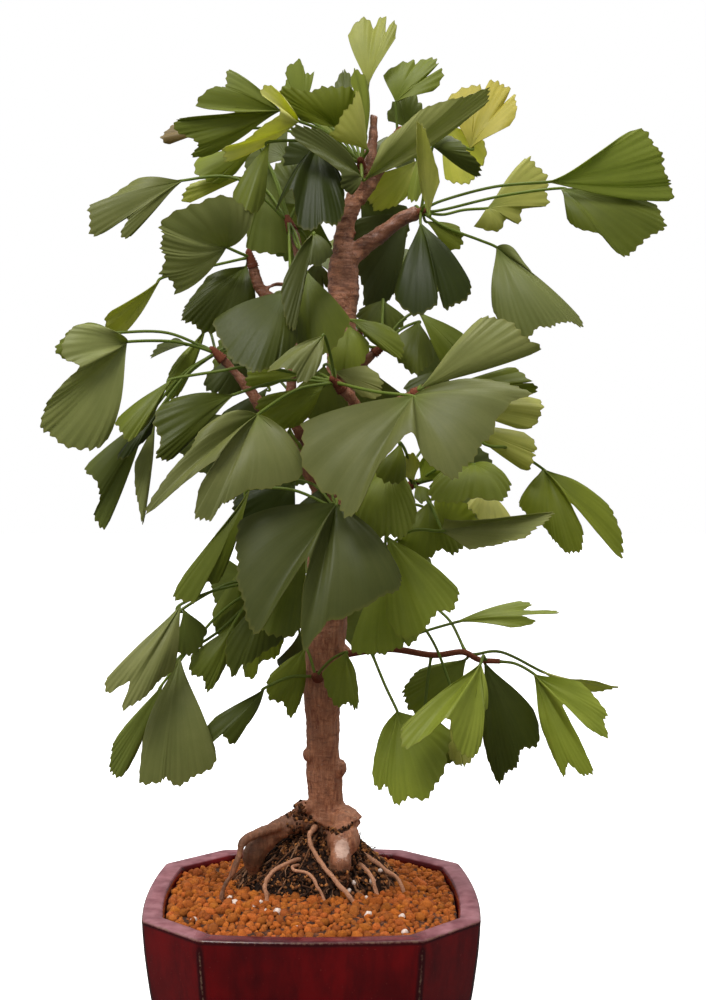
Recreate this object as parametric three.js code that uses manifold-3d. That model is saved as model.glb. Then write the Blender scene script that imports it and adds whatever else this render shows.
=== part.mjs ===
// Ginkgo bonsai in a square glazed pot with cut corners.
// Millimetres, +Z up, front of the pot towards -Y, origin on the table under the middle of the pot.
import * as THREE from "three";
import Module from "manifold-3d";
import { mergeVertices } from "three/addons/utils/BufferGeometryUtils.js";

const wasm = await Module();
wasm.setup();

// ---- dimensions ---------------------------------------------------------------------------------
const GAP = 0.35; // clearance kept between neighbouring pieces

// The plant's tables are a front elevation seen from this eye point: x and z are read on the plane
// y = 0, and the depth y then moves a point along its own line of sight.
const EYE_X = 5;
const EYE_Z = 341;
const EYE_DISTANCE = 840;

const POT_CUT = 0.37; // length of a cut corner as a share of the half width
const POT_DEPTH = 0.955; // depth of the pot as a share of its width
const POT_OUTSIDE = [[0, 84.8], [1.5, 86.3], [16, 90.8], [40, 96.4], [66, 100], [88.6, 101.8]];
const POT_LIP = [[90, 100.4], [90, 90.2]];
const POT_INSIDE = [[88.4, 88.8], [50, 86.8], [10, 78.8]];
const POT_SIDE_BOW = 3.6;
const POT_FLOOR = 10;
const DRAIN_X = 40;
const DRAIN_RADIUS = 9;
const DRAIN_SIDES = 14;
const GROOVE_WIDTH = 14;
const GROOVE_DEPTH = 4;

const SCREEN_SIZE = 28;
const SCREEN_THICKNESS = 1.2;
const SCREEN_OPENINGS = 3;
const SCREEN_BAR = 2;

const SOIL_BOTTOM = 11.8;
const SOIL_EDGE_HEIGHT = 84.5;
const SOIL_CROWN = 4; // how much higher the middle of the soil lies than its edge
const SOIL_RINGS = 8;
const SOIL_SPOKES = 44;
const SOIL_GRAIN = 1.8; // relief of the granules
const SOIL_JITTER = 1.6;

const MOUND_CENTRE = [2, 24];
const MOUND_RINGS = [[66, 58], [80, 57], [90, 54], [100, 44], [110, 31], [120, 20], [127, 10]]; // z, radius
const MOUND_BURIED_RINGS = 2; // the lowest rings stay smooth, down in the soil
const MOUND_LEAN = 8; // how far the top lies towards +X of the foot
const MOUND_DEPTH = 0.72; // depth of the mound as a share of its width
const MOUND_SPOKES = 16;

const LEAF_THICKNESS = 0.65;
const MIDDLE_ROW = 0.62; // where the blade's middle row of points lies between base and edge
const LARGE_LEAF_LENGTH = 48;
const LARGE_LEAF_STEPS = 8;
const SMALL_LEAF_STEPS = 5;
const LEAF_NECK = 0.66; // how far the blade's sides draw in near its base
const LEAF_BELLY = 1.05; // and how far they swell out below its corners
const PETIOLE_RADIUS = 1.05;
const PETIOLE_ARCH = 0.1; // rise of a plain petiole as a share of its length
const HUB_RADIUS = 5.4; // the leaf-bearing bud that ends each spur
const HUB_REACH = 2.6;
const SPRAY_SEED_STEP = 3.1;
const LEAF_SEED_STEP = 1.7;

// ---- wood: [x, depth, z, radius] along each piece -----------------------------------------------
const TRUNK = [
  [16, 26, 92, 10], [14, 24, 112, 12], [10, 20, 140, 12.6], [7.5, 16, 170, 11.4], [7, 11, 200, 11.6],
  [7, 7, 230, 12.2], [9, 4, 260, 13], [10, 1, 320, 12.4], [15, 0, 380, 11.4], [19, 0, 430, 9.8],
  [19.6, 0, 456, 8.8], [20.4, 0, 474, 9.6], [20.4, 0, 490, 10.2], [20.6, 0, 500, 7.4],
  [20.4, 0, 511, 5.7], [23.4, 0, 523, 5.3], [27.4, 0, 535, 5.7], [36, 0, 558, 5.0], [39, 0, 572, 3.2],
  [40, 0, 589, 2.8]
];
const BRANCHES = {
  top: [[33, 0, 548, 4], [32, -9, 556, 3.4]],
  knob: [[30, 0, 534, 5], [45, 3, 558, 4.4], [54, 5, 575, 3.6]],
  right: [[20, 0, 494, 6.4], [31, -1, 502, 5.7], [43, -3, 511.5, 5.1], [58, -6, 522, 4.8], [68, -8, 526, 4]],
  left_inner: [
    [10, 0, 362, 4], [-12, -14, 395, 3.8], [-11, -18, 445, 3.4], [-8, -16, 480, 3.2], [-10, -14, 508, 3],
    [-14, -12, 518, 2.8]
  ],
  left_upper: [
    [16, 0, 448, 4.4], [-8, -14, 461, 4], [-30, -22, 473, 3.6], [-36, -24, 485, 3.2], [-39, -26, 495, 3]
  ],
  left_middle: [
    [9, 0, 342, 5], [-10, -10, 370, 4.4], [-26, -14, 391, 3.8], [-41, -16, 413, 3.2], [-53, -18, 427, 2.9],
    [-60, -19, 434, 2.7]
  ],
  front_middle: [[13, -2, 362, 4.4], [28, -30, 388, 4], [27, -50, 404, 3.6], [17, -58, 415, 3.2]],
  right_front: [[14, 0, 380, 4.6], [42, -26, 396, 4], [69, -46, 411, 3.2]],
  right_inner: [[18, 0, 420, 4], [30, -2, 428, 3.4], [43, -4, 438, 3]],
  right_lower: [[11, 0, 318, 4.4], [40, -14, 338, 3.8], [63, -24, 350, 3]],
  front_lower: [[10, -2, 312, 4.2], [12, -22, 326, 3.6], [15, -34, 334, 3.2]],
  centre_lower: [[9, 2, 286, 4.2], [30, -10, 300, 3.6], [45, -16, 308, 3]],
  left_lower: [[9, 2, 262, 4.4], [-10, -5, 279, 3.8], [-24, -12, 289, 3.2]],
  trunk_front: [[7, 8, 226, 4], [3, -10, 227, 3]],
  back_top: [[24, 0, 512, 4.6], [18, 16, 530, 3.8], [14, 26, 542, 3]],
  back_upper: [[20, 0, 430, 4.6], [26, 24, 440, 3.8], [30, 44, 448, 3]],
  back_middle: [[15, 0, 378, 4.8], [4, 24, 392, 4], [-8, 44, 402, 3]],
  back_right: [[11, 1, 316, 4.8], [34, 24, 330, 4], [52, 42, 338, 3]],
  back_lower: [[9, 5, 250, 4.6], [-4, 28, 266, 3.8], [-12, 44, 274, 3]]
};
const LARGE_BURL = 8;
const TRUNK_SIDES = 10;
const BRANCH_SIDES = 5;
const ROOT_SIDES = 4;
const TWIGS = [[[-30, -22, 473, 2], [-24, -23, 479, 1.7], [-19, -23, 478, 1.6]]];
const SURFACE_ROOTS = [
  [
    [12, 20, 128, 9], [-8, 16, 134, 7.2], [-22, 12, 128, 7.2], [-33.5, 9, 119, 7.6],
    [-37.5, 9, 110, 7], [-37, 12, 101, 4.8], [-37, 17, 90, 3]
  ],
  [
    [-20, 6, 131, 3.6], [-33, 0, 127, 3.4], [-44, -6, 121, 2.6], [-47, -9, 111, 2.1],
    [-52, -11, 99, 1.8], [-57, -14, 90, 1.6], [-60, -15, 72, 1.5]
  ],
  [
    [2, 8, 130, 2.2], [-1, -3, 126, 1.6], [1, -9, 114.5, 1.5], [8, -14, 105, 1.5], [19, -22, 91, 1.5],
    [29, -24, 79, 1.4], [34, -25, 68, 1.3]
  ],
  [
    [-4, 6, 110, 1.7], [-18, -9, 106, 1.3], [-28, -14, 98, 1.4], [-31, -18, 91, 1.4], [-29, -21, 82, 1.4],
    [-27, -25, 68, 1.3]
  ],
  [[-8, 2, 106, 1.5], [-12, -10, 103, 1.1], [-1, -17, 99, 1.1], [5, -21, 89, 1.1], [16, -25, 72, 1.1]],
  [[26, 20, 118, 3], [36, 12, 110, 1.8], [48, 8, 103, 1.4], [58, 2, 92, 1.3], [64, -2, 72, 1.3]],
  [[24, 16, 112, 2.6], [34, 2, 103, 1.5], [40, -6, 94, 1.3], [44, -12, 72, 1.3]],
  [[16, 34, 118, 5], [6, 56, 108, 3], [-6, 72, 94, 2.2], [-12, 80, 70, 1.8]],
  [[24, 32, 116, 4.6], [40, 52, 106, 2.8], [52, 64, 92, 2], [58, 70, 70, 1.6]]
];
const BURLS = [
  // x, depth, z, then the half sizes
  [22, 11, 136, 10.5, 12, 8], [20, 0, 122, 11, 12, 12], [18.6, -7, 109, 7.2, 9, 12],
  [20, -8, 97, 5, 6, 9], [18, 11, 168, 5, 5, 6], [-2, 10, 177, 4, 5, 5], [20, 3, 243, 6, 6, 5],
  [-5, 15, 143, 6.5, 7, 5], [27, -3, 497, 5.5, 6, 4.5], [43.5, -3, 515, 3.4, 3.4, 3.4]
];

// ---- foliage: [base, left corner, tip, right corner, notches, bow, ...points of the petiole] -----
// A notch is [where across the edge from -1 to 1, depth as a share of the blade].
const SPRAYS = {
  top: [
    [[36, 0, 607], [6, 0, -6], [[22, 644], [30, 650], [36, 651], [40, 646], [43, 651], [48, 651],
      [48, 643], [51, 648], [54, 649], [56, 643]], [], 3],
    [[-5, 22, 590], [20, 18, 20], [[-22, 606], [-16, 611], [-17, 619], [-8, 624], [-4, 617],
      [2, 619]], [], 2],
    [[17, -4, 580], [-8, -16, -4], [[-9, 586], [-21, 600], [-19, 606], [-3, 605], [10, 607],
      [24, 607], [31, 598]], [], 5],
    [[35, -10, 574], [-18, -12, -4], [[24, 614], [30, 618], [37, 608]], [], 2],
    [[22, 24, 588], [28, 30, 26], [[14, 608], [20, 617], [27, 612]], [[0.1, 0.1]], 2],
    [[33, -24, 547], [-38, -50, -34], [[46, 573], [60, 583], [75, 595], [96, 601], [113, 606],
      [113, 597], [100, 586], [80, 571]], [], 5],
    [[32, -26, 549], [-36, -42, -34], [[26, 537], [19, 543], [16, 554], [-12, 575], [-9, 582],
      [3, 580], [15, 573]], [], 4],
    [[36, -18, 566], [-26, -32, -24], [[9, 575], [22, 592], [30, 607]], [], 3],
    [[-8, -24, 585], [-42, -48, -34], [[-15, 596], [-26, 608], [-33, 603], [-20, 592], [-30, 584],
      [-44, 573], [-56, 568], [-56, 559], [-46, 562]], [], 3],
    [[-20, -8, 592], [-18, -26, -12], [[-42, 612], [-55, 619], [-55, 608], [-64, 607], [-75, 595],
      [-50, 591], [-78, 588], [-88, 585], [-85, 577], [-73, 571], [-79, 563], [-71, 560]], [], 5],
    [[-60, 6, 580], [4, 4, 8], [[-94, 570], [-96, 577], [-87, 584]], [], 2],
    [[4, -14, 572], [-28, -42, -32], [[-20, 536], [-23, 527], [-13, 541], [-9, 518], [1, 516],
      [9, 519], [17, 518], [21, 530], [21, 546]], [], 5],
    [[-27, -34, 572], [-46, -54, -46], [[-53, 536], [-42, 527], [-31, 530]], [], 5]
  ],
  left_inner: [
    [[-35, 0, 570], [2, -4, 4], [[-78, 561], [-68, 546], [-51, 549]], [[0.2, 0.1]], 3],
    [[-27, 8, 556], [6, 0, 8], [[-55, 514], [-49, 507], [-42, 512], [-41, 502], [-27, 500],
      [-13, 502], [-9, 507]], [], 4],
    [[10, 14, 560], [16, 14, 16], [[-20, 556], [-15, 570], [-2, 573]], [], 2],
    [[-42, 14, 549], [8, 6, 12], [[-82, 531], [-80, 543], [-60, 549]], [], 3],
    [[-83, -10, 547], [-12, -20, -14], [[-115, 549], [-130, 537], [-143, 530], [-143, 519],
      [-139, 511], [-119, 523], [-123, 514], [-119, 509], [-110, 519]], [], 4, [-48, -12, 548]],
    [[1, -56, 513], [-68, -76, -62], [[-12, 496], [-20, 474], [-16, 456], [-11, 451], [-7, 470],
      [-3, 490], [5, 492], [15, 499]], [], 5, [-8, -30, 503]],
    [[-14, -56, 477], [-68, -86, -72], [[-67, 455], [-38, 424], [-9, 441]], [[0.5, 0.1]], 6],
    [[-4, -44, 490], [-48, -58, -52], [[-12, 443], [5, 434], [27, 455]], [], 5],
    [[4, 26, 495], [28, 26, 26], [[-5, 486], [5, 476], [13, 484]], [[0.4, 0.15]], 3],
    [[-4, 20, 530], [26, 28, 24], [[-28, 533], [-27, 550], [-14, 563], [3, 558]], [], 3, [-4, 0, 516]]
  ],
  knob: [
    [[54, 4, 597], [8, 0, -4], [[45, 617], [78, 625], [82, 606]], [[0.38, 0.3], [-0.4, 0.08]], 3],
    [[61, 24, 580], [28, 26, 26], [[47, 586], [61, 603], [75, 590]], [[-0.3, 0.08]], 3],
    [[102, 14, 567], [22, 20, 8], [[85, 602], [124, 609], [131, 584]], [[-0.42, 0.18], [0.3, 0.24]],
      4],
    [[83, 30, 586], [36, 34, 28], [[86, 546], [104, 548], [114, 571]], [], 4],
    [[68, 16, 560], [20, 20, 12], [[62, 537], [42, 528], [30, 546]], [[0.3, 0.08]], 3],
    [[70, 8, 566], [10, 6, 8], [[61, 537], [66, 533], [72, 543]], [], 2]
  ],
  right: [
    [[152, -14, 546], [-34, -26, -14], [[198, 573], [212, 580], [221, 571], [226, 562], [229, 549],
      [232, 543], [230, 534], [205, 539]], [], 6, [84, -14, 534], [118, -16, 543]],
    [[160, -6, 542], [-8, -20, -12], [[203, 537], [221, 531], [227, 521], [225, 514], [214, 509],
      [205, 499], [196, 501], [185, 512], [172, 515], [165, 521]], [], 5, [84, -6, 528],
      [122, -8, 537]],
    [[113, 12, 529], [22, 18, 10], [[129, 549], [134, 558], [141, 561], [149, 553], [152, 541],
      [151, 531], [136, 528], [133, 519], [125, 522], [120, 514], [104, 517]], [], 3,
      [84, 4, 525], [98, 8, 528]],
    [[119, -4, 504], [-16, -28, -10], [[116, 461], [124, 452], [137, 446], [147, 452], [157, 453],
      [165, 456], [173, 453], [172, 460], [150, 479], [132, 502]], [], 8, [86, -10, 517],
      [107, -6, 509]],
    [[70, -20, 520], [-30, -44, -28], [[57, 484], [54, 469], [68, 460], [80, 466], [81, 478],
      [86, 465], [95, 468], [103, 474], [101, 484]], [], 6],
    [[73, -8, 521], [-6, -6, -2], [[88, 500], [97, 507], [95, 518]], [], 2],
    [[64, 30, 526], [34, 36, 30], [[27, 522], [24, 508], [32, 480], [36, 463], [50, 470], [56, 484]],
      [], 4],
    [[78, -28, 569], [-32, -44, -30], [[88, 577], [104, 563], [110, 547]], [[-0.2, 0.08]], 4],
    [[76, -60, 524], [-68, -76, -66], [[69, 548], [69, 585], [83, 548]], [], -4]
  ],
  left_upper: [
    [[-55, -34, 504], [-46, -62, -54], [[-91, 472], [-93, 483], [-98, 488], [-94, 498], [-98, 504],
      [-95, 512], [-99, 519], [-82, 530], [-61, 537], [-46, 533], [-36, 526]], [], 7,
      [-46, -32, 500]],
    [[-97, -14, 484], [-22, -14, -8], [[-131, 462], [-133, 452], [-122, 446]], [], 3,
      [-60, -26, 493], [-86, -20, 487]],
    [[-42, -10, 492], [-18, -26, -14], [[-69, 485], [-80, 468], [-84, 459], [-77, 454], [-66, 449],
      [-50, 450], [-36, 468]], [], 5]
  ],
  left_middle: [
    [[-119, -38, 443], [-50, -62, -46], [[-130, 450], [-143, 455], [-154, 452], [-160, 444],
      [-160, 432], [-150, 427], [-160, 417], [-170, 404], [-174, 393], [-171, 384], [-160, 377],
      [-146, 371], [-133, 375]], [], 8, [-88, -28, 443]],
    [[-124, -26, 449], [-24, -22, -18], [[-161, 430], [-163, 443], [-146, 456]], [], 3],
    [[-80, -14, 441], [-18, -10, -4], [[-106, 431], [-100, 439], [-90, 446]], [], 2],
    [[-68, 8, 453], [2, -6, 6], [[-85, 434], [-91, 424], [-95, 412], [-87, 407], [-80, 422]], [], 4],
    [[-104, -10, 397], [-18, -26, -16], [[-140, 368], [-146, 360], [-138, 351], [-137, 341],
      [-140, 331], [-134, 322], [-124, 345]], [], 4],
    [[-98, -30, 400], [-34, -40, -32], [[-128, 367], [-118, 370], [-104, 383]], [], 3],
    [[-101, -20, 393], [-26, -28, -20], [[-116, 362], [-112, 340], [-109, 326], [-105, 347]], [], 2],
    [[-42, 18, 437], [16, 12, 16], [[-70, 421], [-62, 408], [-42, 411]], [[0, 0.08]], 3],
    [[-28, 6, 414], [6, 4, 8], [[-60, 396], [-52, 388], [-35, 392]], [], 2, [-48, 2, 436]]
  ],
  front_middle: [
    [[-35, -84, 396], [-92, -112, -96], [[-60, 394], [-72, 386], [-80, 372], [-97, 352], [-107, 332],
      [-84, 351], [-62, 367], [-72, 350], [-75, 332], [-66, 327], [-57, 338], [-40, 347],
      [-20, 350], [-5, 358], [-8, 375]], [], 8, [-10, -70, 412]],
    [[65, -96, 408], [-100, -124, -98], [[-14, 388], [-4, 356], [14, 343], [27, 331], [44, 364],
      [64, 384], [72, 368], [90, 355], [103, 367], [116, 385], [126, 402], [142, 411], [112, 420]],
      [], 7, [40, -80, 411]],
    [[14, -22, 424], [-24, -26, -24], [[37, 428], [46, 412], [34, 406]], [[0, 0.12]], 2],
    [[8, -17, 428], [-18, -19, -18], [[-11, 412], [-8, 398], [6, 391], [19, 396], [25, 402]], [], 2],
    [[8, -46, 415], [-44, -46, -42], [[-33, 408], [-35, 398], [-26, 388], [-14, 387], [-3, 393]], [], 4],
    [[-6, -40, 422], [-46, -48, -46], [[-37, 427], [-43, 417], [-30, 413]], [], 3],
    [[8, -82, 447], [-94, -102, -94], [[-22, 433], [-29, 423], [-18, 426], [-11, 423], [-9, 418],
      [0, 419], [6, 430]], [], 4],
    [[-90, -50, 419], [-56, -64, -54], [[-129, 391], [-123, 384], [-117, 380], [-110, 385],
      [-103, 394]], [], 4, [-33, -56, 427], [-60, -54, 424]],
    [[-50, -52, 409], [-58, -72, -62], [[-84, 408], [-97, 402], [-101, 391], [-98, 378], [-100, 369],
      [-94, 366], [-86, 371], [-79, 379]], [], 6, [-18, -58, 418]]
  ],
  right_inner: [
    [[24, -13, 453], [-17, -22, -15], [[8, 429], [25, 424], [39, 440]], [[-0.3, 0.1]], 4,
      [37, -6, 440], [30, -10, 446]],
    [[25, -20, 457], [-24, -29, -22], [[38, 443], [58, 433], [54, 452]], [], 4,
      [45, -12, 446], [37, -20, 455]],
    [[69, -2, 456], [-4, -14, -8], [[49, 440], [66, 423], [80, 435]], [], 4],
    [[68, 16, 463], [14, 10, 14], [[84, 428], [95, 432], [100, 447]], [[0.2, 0.1]], 3],
    [[46, 16, 470], [20, 14, 18], [[29, 463], [30, 452], [40, 445], [53, 447], [62, 457]], [], 3]
  ],
  right_front: [
    [[69, -70, 412], [-74, -86, -76], [[105, 456], [113, 459], [125, 457], [136, 448], [147, 439],
      [134, 433]], [], 6],
    [[72, -60, 410], [-60, -66, -58], [[131, 428], [142, 417], [146, 409]], [[0, 0.1]], 4],
    [[80, -50, 404], [-50, -56, -52], [[146, 408], [148, 396], [138, 385]], [], 5],
    [[92, -40, 391], [-42, -50, -42], [[141, 384], [144, 371], [139, 358]], [[0, 0.05]], 4],
    [[149, -26, 361], [-26, -44, -26], [[134, 342], [134, 335], [142, 329], [152, 321], [158, 313],
      [166, 307], [173, 309], [175, 320], [168, 338], [198, 304], [200, 316], [196, 332],
      [184, 345]], [], 6, [108, -58, 379], [128, -46, 374]],
    [[90, -22, 427], [-26, -30, -26], [[60, 417], [66, 405], [85, 404]], [], 3]
  ],
  right_lower: [
    [[66, -40, 353], [-46, -50, -44], [[55, 358], [57, 368], [64, 371], [70, 364]], [], -2],
    [[70, -32, 353], [-36, -40, -36], [[69, 365], [76, 372], [84, 366], [84, 355]], [], -2],
    [[67, -40, 350], [-48, -50, -44], [[66, 342], [72, 340], [78, 346]], [], 2],
    [[50, -60, 364], [-66, -80, -66], [[24, 338], [30, 325], [40, 319], [50, 317], [58, 317],
      [65, 324], [67, 338], [62, 353]], [], 8],
    [[57, -74, 378], [-80, -84, -76], [[40, 360], [52, 351], [61, 358]], [], 3],
    [[104, -58, 364], [-68, -84, -66], [[82, 358], [75, 348], [80, 340], [92, 340], [104, 342],
      [123, 341], [128, 349], [125, 358]], [], 6],
    [[112, -42, 350], [-46, -50, -42], [[99, 338], [106, 331], [113, 325], [131, 325]], [], 3],
    [[84, -44, 322], [-48, -42, -38], [[78, 340], [92, 342], [112, 326]], [], 3],
    [[76, -24, 341], [-26, -34, -26], [[52, 318], [62, 308], [74, 303], [84, 309], [92, 306],
      [100, 310]], [], 4]
  ],
  front_lower: [
    [[16, -76, 339], [-88, -114, -92], [[-54, 326], [-51, 305], [-48, 286], [-43, 268], [-36, 254],
      [-19, 280], [-2, 305], [-6, 282], [-7, 258], [-5, 244], [4, 254], [11, 262], [25, 266],
      [41, 276], [56, 283], [59, 291], [54, 303]], [], 10],
    [[-40, -30, 348], [-38, -42, -34], [[-69, 309], [-84, 290], [-88, 278], [-76, 275], [-70, 287],
      [-60, 288], [-55, 300]], [], 5],
    [[-10, 2, 354], [4, -4, 2], [[-46, 351], [-50, 336], [-38, 318], [-12, 324]], [], 4],
    [[9, -14, 352], [-12, -18, -14], [[-16, 331], [-2, 320], [13, 327]], [], 3],
    [[-6, -44, 324], [-62, -70, -62], [[-37, 282], [-36, 264], [-22, 252], [-4, 259]], [], 4]
  ],
  centre_lower: [
    [[48, -46, 318], [-60, -62, -50], [[48, 262], [58, 252], [70, 254], [75, 262], [83, 269],
      [90, 270], [95, 278], [93, 285], [84, 293]], [], 6],
    [[46, -22, 302], [-26, -36, -28], [[23, 242], [50, 243], [75, 256]], [[-0.3, 0.05], [0.4, 0.05]],
      6],
    [[82, -66, 321], [-76, -80, -82], [[86, 330], [106, 328], [153, 333], [150, 327], [137, 317],
      [120, 312.5], [103, 308]], [], -5]
  ],
  left_lower: [
    [[-42, -2, 304], [-2, -8, 0], [[-65, 268], [-58, 253], [-40, 262]], [], 3],
    [[-26, -34, 284], [-42, -48, -38], [[-56, 250], [-56, 238], [-50, 228], [-46, 233], [-39, 237],
      [-30, 243], [-20, 250], [-12, 258]], [], 6],
    [[-27, -1, 275], [0, -6, 0], [[-46, 233], [-43, 227], [-36, 228], [-34, 235], [-27, 239],
      [-22, 240], [-17, 250]], [], 4],
    [[-50, -16, 262], [-20, -26, -16], [[-79, 240], [-78, 228], [-70, 227], [-68, 217], [-62, 223],
      [-55, 234]], [], 4],
    [[-84, -42, 274], [-52, -62, -46], [[-126, 232], [-134, 223], [-131, 217], [-118, 223],
      [-122, 207], [-113, 210], [-105, 217], [-97, 225], [-89, 228]], [], 6, [-58, -32, 284]],
    [[-83, -28, 271], [-32, -28, -22], [[-89, 246], [-78, 241], [-66, 256]], [], 3],
    [[-85, -22, 240], [-30, -42, -32], [[-110, 188], [-111, 172], [-110, 159], [-99, 158],
      [-95, 162], [-89, 157], [-80, 160], [-71, 165], [-61, 172], [-65, 187]], [], 8,
      [-58, -16, 258]],
    [[-95, -8, 224], [-10, -16, -8], [[-120, 196], [-128, 184], [-130, 172], [-128, 163],
      [-119, 167], [-107, 192]], [], 4]
  ],
  trunk_front: [
    [[-30, -20, 220], [-26, -34, -24], [[-50, 208], [-67, 196], [-64, 186], [-58, 189], [-50, 184],
      [-44, 193], [-39, 199]], [], 4],
    [[-4, -4, 246], [-6, -14, -6], [[-21, 234], [-29, 224], [-28, 214], [-19, 210], [-15, 202],
      [-10, 205], [-5, 217]], [], 4],
    [[22, -22, 243], [-26, -36, -26], [[5, 228], [10, 218], [16, 207], [23, 211], [28, 205],
      [30, 213], [29, 228]], [], 4]
  ],
  lower_shoot: [
    [[55, -32, 205], [-40, -52, -44], [[43, 188], [39, 165], [44, 153], [47, 158], [53, 146],
      [62, 148], [74, 149], [82, 160], [88, 175], [92, 192]], [], 7, [38, -4, 244], [47, -20, 222]],
    [[73, -16, 207], [-22, -28, -22], [[68, 152], [80, 160], [89, 172], [98, 171], [101, 181]], [],
      5, [77, -12, 241]],
    [[109, -48, 236], [-66, -78, -62], [[75, 209], [60, 197], [57, 190], [61, 181], [74, 188],
      [87, 200], [91, 187], [97, 177], [104, 176], [109, 182], [109.5, 197], [113, 203]], [], 6,
      [112, -14, 238]],
    [[100, 6, 239], [8, 4, 8], [[80, 235], [67, 230], [60, 220], [60, 211], [70, 203], [92, 204]],
      [], 4, [104, -14, 240]],
    [[111, -12, 237], [-18, -24, -16], [[109, 190], [115, 168], [121, 159], [127, 166], [133, 171],
      [135, 181], [146, 182], [147, 202]], [], 6, [106, -14, 239]],
    [[143, -18, 229], [-24, -36, -24], [[149, 189], [157, 172], [162, 163], [166, 170], [176, 163],
      [181, 167], [175, 182], [162, 209], [178, 194], [190, 188], [189, 199], [190, 206],
      [176, 223]], [], 6, [120, -14, 237]],
    [[147, -2, 231], [-22, -6, 20], [[176, 224], [198, 220.5], [179, 217.5]], [], 2, [103, -14, 241],
      [122, -8, 243]],
    [[92, -2, 262], [12, -4, -16], [[118, 269], [132, 275], [141, 273], [138, 270.5], [157, 270.5],
      [157, 267.5], [137, 266], [144, 262], [133, 259]], [], 2, [50, -8, 245], [66, -6, 254]],
    [[91, -22, 216], [-28, -34, -26], [[87, 176], [96, 170], [107, 176]], [[0.1, 0.08]], 3,
      [66, -6, 254], [69, -14, 262], [80, -18, 246]],
    [[82, 20, 270], [24, 26, 22], [[44, 286], [52, 306], [76, 306]], [[0, 0.1]], 4, [99, -14, 243]]
  ],
  back_top: [
    [[-14, 46, 560], [58, 66, 60], [[-44, 548], [-38, 572], [-14, 590]], [], 6],
    [[10, 56, 574], [74, 84, 66], [[-8, 596], [18, 600], [34, 588]], [[0, 0.1]], 6],
    [[34, 44, 556], [66, 74, 58], [[44, 574], [64, 572], [64, 552]], [], 5],
    [[30, 50, 536], [68, 80, 66], [[64, 530], [56, 504], [30, 500]], [], 6],
    [[0, 50, 536], [64, 78, 64], [[14, 502], [-8, 494], [-34, 506], [-41, 534]], [], 6]
  ],
  back_upper: [
    [[50, 60, 476], [78, 84, 66], [[56, 504], [82, 494], [84, 474]], [[0.1, 0.12]], 6],
    [[20, 74, 478], [88, 104, 88], [[-6, 500], [22, 510], [44, 500]], [], 6],
    [[60, 70, 444], [82, 92, 80], [[84, 444], [90, 424], [70, 408]], [], 6],
    [[6, 72, 452], [84, 88, 78], [[-16, 480], [-40, 456], [-24, 430]], [[0, 0.1]], 6],
    [[34, 78, 430], [92, 108, 90], [[60, 408], [34, 392], [8, 404]], [], 7]
  ],
  back_middle: [
    [[-30, 60, 424], [74, 78, 66], [[-44, 456], [-62, 436], [-58, 404]], [[0, 0.12]], 6],
    [[-44, 66, 396], [78, 84, 74], [[-80, 396], [-84, 370], [-56, 352]], [], 6],
    [[-14, 84, 388], [102, 118, 100], [[-40, 366], [-16, 350], [10, 362]], [], 7],
    [[14, 70, 398], [84, 92, 86], [[40, 390], [46, 364], [22, 348]], [], 6],
    [[-52, 54, 376], [62, 70, 60], [[-70, 362], [-62, 342], [-44, 344]], [], 4]
  ],
  back_right: [
    [[76, 56, 356], [66, 70, 62], [[104, 380], [120, 352], [104, 330]], [[0, 0.1]], 6],
    [[70, 68, 372], [86, 94, 80], [[60, 402], [92, 404], [104, 378]], [], 6],
    [[58, 72, 322], [84, 98, 84], [[80, 312], [66, 298], [42, 298]], [], 6],
    [[36, 74, 344], [90, 98, 86], [[10, 362], [2, 330], [24, 312]], [[0, 0.1]], 6],
    [[84, 50, 330], [58, 64, 58], [[98, 346], [112, 334], [100, 316]], [], 4]
  ],
  back_lower: [
    [[-34, 58, 292], [68, 76, 66], [[-62, 308], [-64, 282], [-50, 258]], [], 6],
    [[-36, 64, 270], [76, 84, 74], [[-60, 262], [-54, 242], [-28, 244]], [[0, 0.12]], 6],
    [[-6, 72, 292], [90, 102, 84], [[-28, 318], [4, 322], [22, 302]], [], 6],
    [[10, 66, 262], [78, 86, 76], [[34, 280], [46, 260], [30, 242]], [], 6],
    [[-8, 76, 256], [94, 104, 90], [[-24, 236], [-4, 220], [12, 232]], [], 6]
  ]
};
// The young shoot that carries the lower right leaves.
const SHOOT = [
  [8, 8, 238, 2.6], [24, 0, 242, 2.4], [50, -8, 245, 2.2], [78, -12, 241, 2], [97, -14, 243, 1.9],
  [108, -14, 238, 1.8], [121, -14, 237, 1.6]
];

// ---- helpers ------------------------------------------------------------------------------------
function place([x, y, z]) {
  const scale = (EYE_DISTANCE + y) / EYE_DISTANCE;
  return new THREE.Vector3(EYE_X + (x - EYE_X) * scale, y, EYE_Z + (z - EYE_Z) * scale);
}

function noise(...seeds) {
  const s = seeds.reduce((sum, value, i) => sum + value * [12.9898, 78.233, 37.719][i], 0);
  return (Math.sin(s) * 43758.5453) % 1;
}

function closedSolid(vertices, faces) {
  let volume = 0;
  for (const [a, b, c] of faces) {
    volume += vertices[a].dot(vertices[b].clone().cross(vertices[c])) / 6;
  }
  const turned = volume < 0 ? faces.map(([a, b, c]) => [a, c, b]) : faces;
  return new wasm.Manifold(new wasm.Mesh({
    numProp: 3,
    vertProperties: Float32Array.from(vertices.flatMap((v) => [v.x, v.y, v.z])),
    triVerts: Uint32Array.from(turned.flat())
  }));
}

function geometrySolid(geometry) {
  geometry.deleteAttribute("normal");
  geometry.deleteAttribute("uv");
  const merged = mergeVertices(geometry, 1e-4);
  return new wasm.Manifold(new wasm.Mesh({
    numProp: 3,
    vertProperties: Float32Array.from(merged.attributes.position.array),
    triVerts: Uint32Array.from(merged.index.array)
  }));
}

function mean(points) {
  return points.reduce((sum, p) => sum.add(p), new THREE.Vector3()).divideScalar(points.length);
}

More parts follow.
